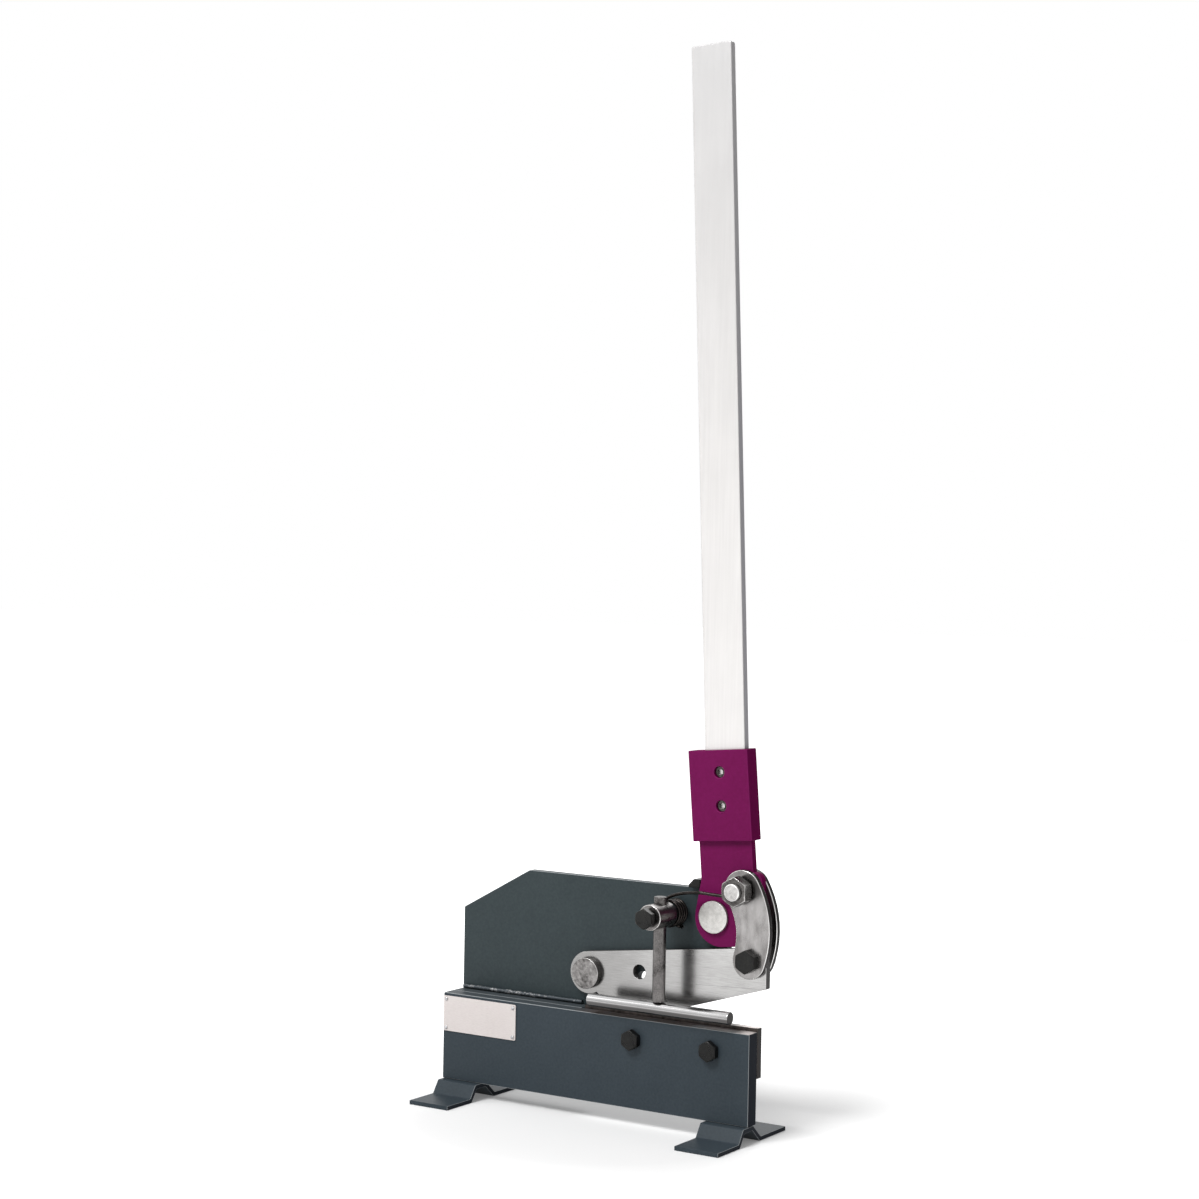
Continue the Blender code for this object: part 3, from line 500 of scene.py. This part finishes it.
bead_metal = surface_of("painted_weld", (0.045, 0.056, 0.065), (0.42, 0.42, 0.42), 0.38, 0.25, 0.12,
                        500.0, (1.0, 1.0, 1.0), 0.6, 70.0)
bead_metal.node_tree.nodes["Color Ramp"].color_ramp.elements[0].position = 0.51
settle(bead, "weld_bead_rippled", "base", ["weld_bead"], bead_metal)


# Lever stop. A small block of flat bar with one corner sawn off, welded on the back plate's top edge.
stop_edge = 0.0006
black_deep = (0.006, 0.006, 0.006)
black_pale = (0.020, 0.020, 0.019)
black_oxide = surface_of("black_oxide", black_deep, black_pale, 0.36, 0.75, 0.10, 900.0,
                         (1.0, 1.0, 1.0), 0.2, 60.0)
piece = copy_of("lever_stop")
break_edges(piece, stop_edge)
settle(piece, "lever_stop_block", "base", ["lever_stop"], black_oxide)


# Name plate. A bare sheet of pale metal, left blank, held by four dome-headed drive rivets.
label_edge = 0.00015
plate_face = surface_of("blank_plate", (0.62, 0.565, 0.55), (0.72, 0.67, 0.65), 0.40, 0.0, 0.06,
                        300.0, (1.0, 1.0, 6.0), 0.08)
piece = copy_of("name_plate")
break_edges(piece, label_edge, 2, 50)
settle(piece, "name_plate_blank", "base", ["name_plate"], plate_face)
rivet_grey = surface_of("rivet_metal", (0.34, 0.34, 0.35), (0.52, 0.52, 0.53), 0.36, 1.0, 0.08,
                        1500.0, (1.0, 1.0, 1.0), 0.2, 200.0)
for node in ("rivet_1", "rivet_2", "rivet_3", "rivet_4"):
    low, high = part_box(node)
    radius = (high.x - low.x) / 2
    middle = ((low.x + high.x) / 2, low.y + radius / 2, (low.z + high.z) / 2)
    bpy.ops.object.select_all(action="DESELECT")
    bpy.ops.mesh.primitive_uv_sphere_add(segments=24, ring_count=12, radius=radius, location=middle)
    dome = bpy.context.object
    dome.scale = (1.0, 0.5, 1.0)
    bpy.ops.object.transform_apply(location=False, rotation=False, scale=True)
    bpy.ops.object.mode_set(mode="EDIT")
    bpy.ops.mesh.select_all(action="SELECT")
    bpy.ops.mesh.bisect(plane_co=(dome.location.x, low.y + radius / 2, dome.location.z), plane_no=(0, 1, 0),
                        clear_outer=True, use_fill=True)
    bpy.ops.object.mode_set(mode="OBJECT")
    settle(dome, node + "_dome", "base", [node], rivet_grey)


# Lower blade. A hard steel bar ground on its faces along its length, held to the front plate by
# two black hexagon screws whose heads have the usual 30 degree chamfer.
blade_edge = 0.00025
steel_deep = (0.27, 0.266, 0.262)
steel_pale = (0.44, 0.436, 0.432)
steel_painted_shade_left = (0.12, 0.117, 0.115)
painted_side_shade = (0.016, 0.014, 0.014)
steel_edge_highlight = (0.80, 0.79, 0.78)
shade_reach_left = (0.12, -0.03)
blade_wear = (0.135, 0.158)
ground = surface_of("ground_blade_steel", steel_deep, steel_pale, 0.23, 1.0, 0.05, 60.0,
                    (1.0, 6.0, 22.0), 0.015, 14.0)
# Painted shade on the cut sides, which are darker and matt, and a painted highlight on the broken edges.
edge_tones(ground, painted_side_shade, 0.9, steel_edge_highlight, 0.8)
# Painted shade: the blade is darker towards its left end.
tone_by(ground, "Object", "X", *shade_reach_left, 0.55, steel_painted_shade_left)
hardened = surface_of("hardened_blade_steel", (0.032, 0.027, 0.025), (0.10, 0.084, 0.077), 0.36, 0.8, 0.08,
                      160.0, (1.0, 1.0, 1.0), 0.10, 90.0)
wear_and_shadow_on_top(hardened, *blade_wear, 0.9, bare_steel, top_patch_scale, 0.42)
# Painted shade: the blade's right-hand end face is darker and matt.
tone_by(hardened, "Normal", "X", *end_facing, 0.9, painted_side_shade, True)
piece = copy_of("lower_blade")
break_edges(piece, blade_edge)
settle(piece, "lower_blade_ground", "base", ["lower_blade"], hardened)

flats10 = 0.017
head10 = 0.0064
chamfer_face = 0.95


def intersect_with(piece, tool):
    """Keep what two solids share, and remove the tool."""
    select_only(piece)
    keep = piece.modifiers.new("keep", "BOOLEAN")
    keep.operation = "INTERSECT"
    keep.solver = "EXACT"
    keep.object = tool
    bpy.ops.object.modifier_apply(modifier=keep.name)
    bpy.data.objects.remove(tool, do_unlink=True)


def hexagon(centre_x, centre_z, front, back, flats, chamfer_front, chamfer_back):
    """A hexagonal prism along Y, its corners taken off by a cone at each face that asks for it."""
    depth = back - front
    middle = (centre_x, (front + back) / 2, centre_z)
    bpy.ops.object.select_all(action="DESELECT")
    bpy.ops.mesh.primitive_cylinder_add(vertices=6, radius=flats / math.sqrt(3), depth=depth,
                                        location=middle, rotation=(math.pi / 2, 0, 0))
    prism = bpy.context.object
    small = flats / 2 * chamfer_face
    wide = small + depth * math.sqrt(3)
    sides = []
    if chamfer_front:
        sides.append(math.pi / 2)
    if chamfer_back:
        sides.append(-math.pi / 2)
    for tilt in sides:
        bpy.ops.object.select_all(action="DESELECT")
        bpy.ops.mesh.primitive_cone_add(vertices=96, radius1=wide, radius2=small, depth=depth,
                                        location=middle, rotation=(tilt, 0, 0))
        cone = bpy.context.object
        intersect_with(prism, cone)
    return prism


def round_bar(centre_x, centre_z, front, back, radius, nose=0.0005, sides=64):
    """A round bar along Y with both ends chamfered."""
    bpy.ops.object.select_all(action="DESELECT")
    bpy.ops.mesh.primitive_cylinder_add(vertices=sides, radius=radius, depth=back - front,
                                        location=(centre_x, (front + back) / 2, centre_z),
                                        rotation=(math.pi / 2, 0, 0))
    bar = bpy.context.object
    break_edges(bar, nose, 2, 60)
    return bar


def weld_together(*pieces):
    """Join solids by a union so that no face is left inside."""
    whole = pieces[0]
    for other in pieces[1:]:
        select_only(whole)
        step = whole.modifiers.new("union", "BOOLEAN")
        step.operation = "UNION"
        step.solver = "EXACT"
        step.object = other
        bpy.ops.object.modifier_apply(modifier=step.name)
        bpy.data.objects.remove(other, do_unlink=True)
    return whole


for node in ("lower_blade_bolt_left", "lower_blade_bolt_right"):
    low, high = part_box(node)
    x = (low.x + high.x) / 2
    z = (low.z + high.z) / 2
    head = hexagon(x, z, low.y, low.y + head10, flats10, True, False)
    washer_face = round_bar(x, z, low.y + head10 / 2, high.y, flats10 * 0.29)
    bolt = weld_together(head, washer_face)
    break_edges(bolt, 0.00025, 2, 25)
    settle(bolt, node + "_fine", "base", [node], black_oxide)


# Upper blade. The same ground steel, with a bored eye for its pivot, a hole for round bar and a
# wide hole for the link bolt.
piece = copy_of("upper_blade")
break_edges(piece, blade_edge)
settle(piece, "upper_blade_ground", "blade", ["upper_blade"], ground)


# Pivot pins. Turned steel with flat heads that keep the rings of the lathe tool, nuts behind.
def turned_finish(name, low_tone, high_tone, rough, centre, rings):
    """Bright turned metal with rings about an axis along Y."""
    made = surface_of(name, low_tone, high_tone, rough, 1.0, 0.06, 300.0, (1.0, 1.0, 1.0), 0.05, 45.0)
    nodes = made.node_tree.nodes
    links = made.node_tree.links
    relief = nodes["Bump"]
    place = nodes["Texture Coordinate"]
    shift = nodes.new("ShaderNodeMapping")
    shift.inputs["Location"].default_value = (-centre[0], 0.0, -centre[1])
    shift.inputs["Scale"].default_value = (1.0, 0.0, 1.0)
    links.new(place.outputs["Object"], shift.inputs["Vector"])
    wave = nodes.new("ShaderNodeTexWave")
    wave.wave_type = "RINGS"
    wave.rings_direction = "SPHERICAL"
    wave.inputs["Scale"].default_value = rings
    wave.inputs["Distortion"].default_value = 0.6
    links.new(shift.outputs["Vector"], wave.inputs["Vector"])
    links.new(wave.outputs["Fac"], relief.inputs["Height"])
    relief.inputs["Strength"].default_value = 0.12
    base = nodes["Principled BSDF"].inputs["Base Color"]
    under = base.links[0].from_socket
    ringed = nodes.new("ShaderNodeMix")
    ringed.data_type = "RGBA"
    ringed.blend_type = "SOFT_LIGHT"
    ringed.inputs["Factor"].default_value = 0.7
    links.new(under, ringed.inputs["A"])
    links.new(wave.outputs["Color"], ringed.inputs["B"])
    links.new(ringed.outputs["Result"], base)
    return made


pin_thread = 0.008
pin_rim = 0.0005
pin_rings = 380.0
pin_edge_highlight = (0.74, 0.73, 0.72)
fine_edge = 0.0003
nut12_flats = 0.019
nut16_flats = 0.024
zinc_grey = surface_of("zinc_plate", (0.40, 0.40, 0.41), (0.60, 0.60, 0.61), 0.33, 1.0, 0.08,
                       800.0, (1.0, 1.0, 1.0), 0.12, 60.0)
for name, tones, rough in (
    ("blade_pivot", ((0.055, 0.052, 0.050), (0.30, 0.29, 0.285)), 0.32),
    ("lever_pivot", ((0.40, 0.39, 0.375), (0.62, 0.61, 0.59)), 0.38),
):
    low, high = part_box(name + "_pin")
    x = (low.x + high.x) / 2
    z = (low.z + high.z) / 2
    piece = copy_of(name + "_pin")
    break_edges(piece, pin_rim, 2, 50)
    turned = turned_finish(name + "_turned", *tones, rough, (x, z), pin_rings)
    # Painted shade on the sides, which are made matt, and a painted highlight on the broken rims.
    edge_tones(turned, tones[0], 0.5, pin_edge_highlight, 0.85)
    settle(piece, name + "_pin_turned", "base", [name + "_pin"], turned)
    low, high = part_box(name + "_nut")
    hexed = hexagon(x, z, low.y, high.y, nut16_flats, True, True)
    settle(hexed, name + "_nut_fine", "base", [name + "_nut"], zinc_grey)
piece = copy_of("lever_pivot_washer")
break_edges(piece, fine_edge, 2, 50)
settle(piece, "lever_pivot_washer_fine", "base", ["lever_pivot_washer"], zinc_grey)


# Hold-down. A turned hub on a stud, cross bored for the rod; the rod and the bright round bar at
# its foot slide down on to the sheet, and a black screw in the hub's nose clamps them.
hub_finish = surface_of("hub_steel", (0.07, 0.066, 0.064), (0.22, 0.209, 0.205), 0.30, 1.0, 0.08,
                        800.0, (1.0, 1.0, 1.0), 0.10, 60.0)
hub_edge_highlight = (0.72, 0.70, 0.69)
# A painted highlight on the hub's chamfered rims.
edge_tones(hub_finish, painted_side_shade, 0.0, hub_edge_highlight, 0.9)
rod_finish = surface_of("rod_steel", (0.026, 0.024, 0.023), (0.18, 0.171, 0.168), 0.30, 1.0, 0.08,
                        900.0, (1.0, 1.0, 1.0), 0.08, 70.0)
bar_finish = surface_of("bright_bar", (0.52, 0.515, 0.515), (0.68, 0.675, 0.675), 0.13, 1.0, 0.04,
                        200.0, (0.08, 1.0, 1.0), 0.02, 30.0)
underside_painted_shade = (0.085, 0.080, 0.079)
under_facing = (0.42, -0.15)
bar_end_facing = (0.5, 0.8)
# Painted shade: the bar's underside is darker, and its right-hand end face is dark and matt.
tone_by(bar_finish, "Normal", "Z", *under_facing, 0.9, underside_painted_shade)
tone_by(bar_finish, "Normal", "X", *bar_end_facing, 0.9, painted_side_shade, True)
piece = copy_of("hold_down_post")
break_edges(piece, fine_edge, 2, 50)
settle(piece, "hold_down_post_fine", "base", ["hold_down_post"], hub_finish)
low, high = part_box("hold_down_nut")
hexed = hexagon((low.x + high.x) / 2, (low.z + high.z) / 2, low.y, high.y, nut12_flats, True, True)
settle(hexed, "hold_down_nut_fine", "base", ["hold_down_nut"], zinc_grey)
low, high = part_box("clamp_screw")
x = (low.x + high.x) / 2
z = (low.z + high.z) / 2
head = hexagon(x, z, low.y, low.y + head10, flats10, True, False)
shank = round_bar(x, z, low.y + head10 / 2, high.y, 0.005)
screw = weld_together(head, shank)
break_edges(screw, 0.00025, 2, 25)
settle(screw, "clamp_screw_fine", "clamp", ["clamp_screw"], black_oxide)
for node, finish_used, chamfer in (
    ("hold_down_rod", rod_finish, 0.001),
    ("hold_down_bar", bar_finish, 0.0008),
):
    low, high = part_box(node)
    size = high - low
    upright = size.z > size.x
    bpy.ops.object.select_all(action="DESELECT")
    bpy.ops.mesh.primitive_cylinder_add(vertices=64, radius=size.y / 2, depth=max(size),
                                        location=(low + high) / 2,
                                        rotation=(0, 0 if upright else math.pi / 2, 0))
    piece = bpy.context.object
    break_edges(piece, chamfer, 3, 60)
    settle(piece, node + "_fine", "hold_down", [node], finish_used)


# Return spring. Three millimetre oiled wire: a back leg in the back plate, a coil round the post
# and a long arched leg whose hook holds the upper link bolt up.
wire = 0.0015
coil = 0.0115
turns = 4.35
steps_in_turn = 32
coil_start = math.radians(118)
hub_back = 0.0077
coil_lead = 0.0018
coil_rest = 0.0045
tail_run = 0.0085
tail_deep = 0.0065
tail_curve = 0.0035
tail_steps = 8
hook_radius = 0.0098
hook_slot = 0.0018
hook_from = math.radians(18)
hook_to = math.radians(-112)
arch_shares = ((0.014, 0.561, 0.02), (0.174, 0.719, 0.12), (0.409, 0.804, 0.42), (0.587, 0.785, 0.70),
               (0.760, 0.749, 0.98))
plate_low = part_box("back_plate")[0]
link_low_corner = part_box("link_front")[0]
post_low, post_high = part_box("hold_down_post")
bolt_low, bolt_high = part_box("upper_link_bolt")
front_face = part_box("base_front_plate")[0].y
post = Vector(((post_low.x + post_high.x) / 2, 0, (post_low.z + post_high.z) / 2))
hooked = Vector(((bolt_low.x + bolt_high.x) / 2, 0, (bolt_low.z + bolt_high.z) / 2))
coil_front = front_face + hub_back + coil_lead
coil_back = plate_low.y - coil_rest
hook_y = link_low_corner.y - hook_slot


def on_coil(turned_by):
    angle = coil_start + 2 * math.pi * turned_by
    y = coil_front + (coil_back - coil_front) * turned_by / turns
    return Vector((post.x + coil * math.cos(angle), y, post.z + coil * math.sin(angle)))


def through(spots, steps):
    """Points on a smooth curve through the given ones."""
    points = []
    for i in range(len(spots) - 1):
        a = spots[max(i - 1, 0)]
        b = spots[i]
        c = spots[i + 1]
        d = spots[min(i + 2, len(spots) - 1)]
        for j in range(steps):
            t = j / steps
            points.append(0.5 * (2 * b + (c - a) * t + (2 * a - 5 * b + 4 * c - d) * t * t
                                 + (3 * b - a - 3 * c + d) * t * t * t))
    points.append(spots[-1])
    return points


hook = []
for i in range(25):
    angle = hook_from + (hook_to - hook_from) * i / 24
    hook.append(Vector((hooked.x + hook_radius * math.cos(angle), hook_y,
                        hooked.z + hook_radius * math.sin(angle))))
span = hooked - post
leg = [hook[-1]]
for along, rise, depth in reversed(arch_shares):
    leg.append(Vector((post.x + span.x * along, coil_front + (hook_y - coil_front) * depth,
                       post.z + span.z * rise)))
leg.append(on_coil(0))
route = hook[:-1] + through(leg, 10)[:-1]
route += [on_coil(i / steps_in_turn) for i in range(round(turns * steps_in_turn) + 1)]
last = route[-1]
end_angle = coil_start + 2 * math.pi * turns
heading = Vector((-math.sin(end_angle), 0, math.cos(end_angle)))
tail_at = last + tail_run * heading
for i in range(tail_steps + 1):
    angle = math.pi / 2 * i / tail_steps
    inward = Vector((0, 1 - math.cos(angle), 0))
    route.append(tail_at + tail_curve * (inward - (1 - math.sin(angle)) * heading))
route.append(Vector((tail_at.x, plate_low.y + tail_deep, tail_at.z)))
wire_line = bpy.data.curves.new("spring_line", "CURVE")
wire_line.dimensions = "3D"
wire_line.bevel_depth = wire
wire_line.bevel_resolution = 4
wire_line.use_fill_caps = True
run = wire_line.splines.new("POLY")
run.points.add(len(route) - 1)
for point, place in zip(run.points, route):
    point.co = (*place, 1.0)
spring = bpy.data.objects.new("spring_run", wire_line)
bpy.context.scene.collection.objects.link(spring)
select_only(spring)
bpy.ops.object.convert(target="MESH")
spring = bpy.context.object
bpy.ops.object.mode_set(mode="EDIT")
bpy.ops.mesh.select_all(action="SELECT")
bpy.ops.mesh.remove_doubles(threshold=0.00001)
bpy.ops.object.mode_set(mode="OBJECT")
bpy.ops.object.shade_smooth_by_angle(angle=math.radians(50))
spring.name = "return_spring_wound"
spring_wire = surface_of("spring_wire", (0.008, 0.007, 0.0065), (0.035, 0.029, 0.027), 0.26, 0.9, 0.06,
                         600.0, (1.0, 1.0, 1.0), 0.1, 90.0)
spring.data.materials.clear()
spring.data.materials.append(spring_wire)
coil_edge = post + Vector((coil + 2 * wire, 0, 0))
hook_edge = hooked - Vector((hook_radius + 2 * wire, 0, 0))
hook_edge.z = coil_edge.z
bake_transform(spring)
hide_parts("return_spring")


# Lever plate and socket. Flame-cut plate and a welded rectangular tube, sprayed purple, with a
# smooth gloss; two black grub screws in the tube's face clamp the handle.
purple_deep = (0.136, 0.006, 0.064)
purple_pale = (0.165, 0.008, 0.081)
purple_edge_highlight = (0.24, 0.022, 0.13)
purple_side_painted_shade = (0.130, 0.001, 0.056)
purple_gloss = 0.05
socket_edge = 0.0011
lever_edge = 0.0006
purple = surface_of("purple_paint_sprayed", purple_deep, purple_pale, 0.38, 0.0, 0.05,
                    380.0, (1.0, 1.0, 1.0), 0.10, 6.0)
purple.node_tree.nodes["Principled BSDF"].inputs["Specular IOR Level"].default_value = purple_gloss
# Painted shade on the cut sides of the plate and tube, which are darker and matt, and a painted highlight
# on the broken edges.
edge_tones(purple, purple_side_painted_shade, 0.9, purple_edge_highlight, 0.5)
piece = copy_of("lever_plate")
break_edges(piece, lever_edge)
settle(piece, "lever_plate_painted", "lever", ["lever_plate"], purple)
piece = copy_of("lever_socket")
break_edges(piece, socket_edge, 3, 60)
settle(piece, "lever_socket_painted", "lever", ["lever_socket"], purple)
grub_recess = 0.0022
grub = surface_of("grub_screw_steel", (0.010, 0.008, 0.008), (0.10, 0.086, 0.084), 0.22, 1.0, 0.08,
                  900.0, (1.0, 1.0, 1.0), 0.1, 260.0)
for node in ("set_screw_1", "set_screw_2"):
    piece = copy_of(node)
    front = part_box(node)[0].y
    for vertex in piece.data.vertices:
        vertex.select = vertex.co.y < front + strap_edge
    select_only(piece)
    bpy.ops.object.mode_set(mode="EDIT")
    bpy.ops.transform.translate(value=(0, grub_recess, 0))
    bpy.ops.object.mode_set(mode="OBJECT")
    break_edges(piece, fine_edge, 2, 40)
    settle(piece, node + "_fine", "lever", [node], grub)


# Handle. Drawn flat bar, 42 by 8, zinc bright all over, with the die's faint lines along it.
bar_edge = 0.0009
handle_side_painted_shade = (0.40, 0.395, 0.42)
handle_rim_painted_shade = (0.34, 0.33, 0.33)
handle_top_painted_shade = (0.50, 0.495, 0.495)
handle_shade_reach = (0.62, 0.98)
handle_finish = surface_of("drawn_zinc_bar", (0.655, 0.64, 0.63), (0.72, 0.705, 0.695), 0.36, 0.6, 0.05,
                           420.0, (1.0, 1.0, 0.03), 0.03, 5.0)
# Painted shade on the bar's sides and broken edges, both darker than its face.
edge_tones(handle_finish, handle_side_painted_shade, 0.95, handle_rim_painted_shade, 0.7)
# Painted shade: the handle is darker towards its top.
tone_by(handle_finish, "Object", "Z", *handle_shade_reach, 0.85, handle_top_painted_shade)
piece = copy_of("handle_bar")
break_edges(piece, bar_edge, 3, 40)
settle(piece, "handle_bar_drawn", "lever", ["handle_bar"], handle_finish)


# Links. Two curved plates of ground steel, the edges left from the punch, on a thick bolt at the
# top with its nut in front, and on a black screw with a lock nut behind at the bottom.
link_edge = 0.0008
shank12 = 0.006
shank_chamfer = 0.0012
head12 = 0.0075
head16 = 0.0081
link_top_painted_reflection = (0.13, 0.124, 0.12)
link_reflection_reach = (0.205, 0.245)
nut_edge_highlight = (0.50, 0.49, 0.48)
bolt_end_side_painted_shade = (0.16, 0.155, 0.15)
bolt_end_edge_highlight = (0.85, 0.84, 0.83)
end_rings = 300.0
link_finish = surface_of("link_steel", (0.13, 0.124, 0.121), (0.33, 0.32, 0.316), 0.27, 1.0, 0.08,
                         70.0, (2.2, 1.0, 0.8), 0.03, 26.0)
# Painted dark reflection: the links are darker towards their top ends.
tone_by(link_finish, "Object", "Z", *link_reflection_reach, 0.5, link_top_painted_reflection)
# Painted shade on the punched sides, which are darker and matt, and a painted highlight on the broken
# edges.
edge_tones(link_finish, painted_side_shade, 0.95, pin_edge_highlight, 0.9)
for node in ("link_front", "link_rear"):
    piece = copy_of(node)
    break_edges(piece, link_edge, 3)
    settle(piece, node + "_ground", "links", [node], link_finish)
nut_grey = surface_of("dark_zinc", (0.030, 0.028, 0.027), (0.13, 0.124, 0.12), 0.26, 1.0, 0.10,
                      600.0, (1.0, 1.0, 1.0), 0.12, 60.0)
low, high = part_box("upper_link_nut")
x = (low.x + high.x) / 2
z = (low.z + high.z) / 2
hexed = hexagon(x, z, low.y, high.y, nut16_flats, True, True)
# Painted shade on the nut's flats and a painted highlight on its chamfers.
edge_tones(nut_grey, painted_side_shade, 0.3, nut_edge_highlight, 0.8)
settle(hexed, "upper_link_nut_fine", "lever", ["upper_link_nut"], nut_grey)
low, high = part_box("upper_link_bolt")
head = hexagon(x, z, high.y - head16, high.y, nut16_flats, False, True)
shank = round_bar(x, z, low.y, high.y - head16 / 2, pin_thread, shank_chamfer)
bolt = weld_together(head, shank)
bright_end = turned_finish("bolt_end_turned", (0.26, 0.252, 0.246), (0.56, 0.55, 0.54), 0.34, (x, z),
                           end_rings)
# Painted shade on the shank's side and a painted highlight on the end's rim.
edge_tones(bright_end, bolt_end_side_painted_shade, 0.8, bolt_end_edge_highlight, 0.8)
settle(bolt, "upper_link_bolt_fine", "lever", ["upper_link_bolt"], bright_end)
low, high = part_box("lower_link_bolt")
x = (low.x + high.x) / 2
z = (low.z + high.z) / 2
head = hexagon(x, z, low.y, low.y + head12, nut12_flats, True, False)
shank = round_bar(x, z, low.y + head12 / 2, high.y, shank12)
bolt = weld_together(head, shank)
settle(bolt, "lower_link_bolt_fine", "links", ["lower_link_bolt"], black_oxide)
piece = copy_of("lower_link_washer")
break_edges(piece, fine_edge, 2, 50)
settle(piece, "lower_link_washer_fine", "links", ["lower_link_washer"], zinc_grey)
low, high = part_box("lower_link_nut")
hexed = hexagon(x, z, low.y, high.y, nut12_flats, True, True)
settle(hexed, "lower_link_nut_fine", "links", ["lower_link_nut"], zinc_grey)
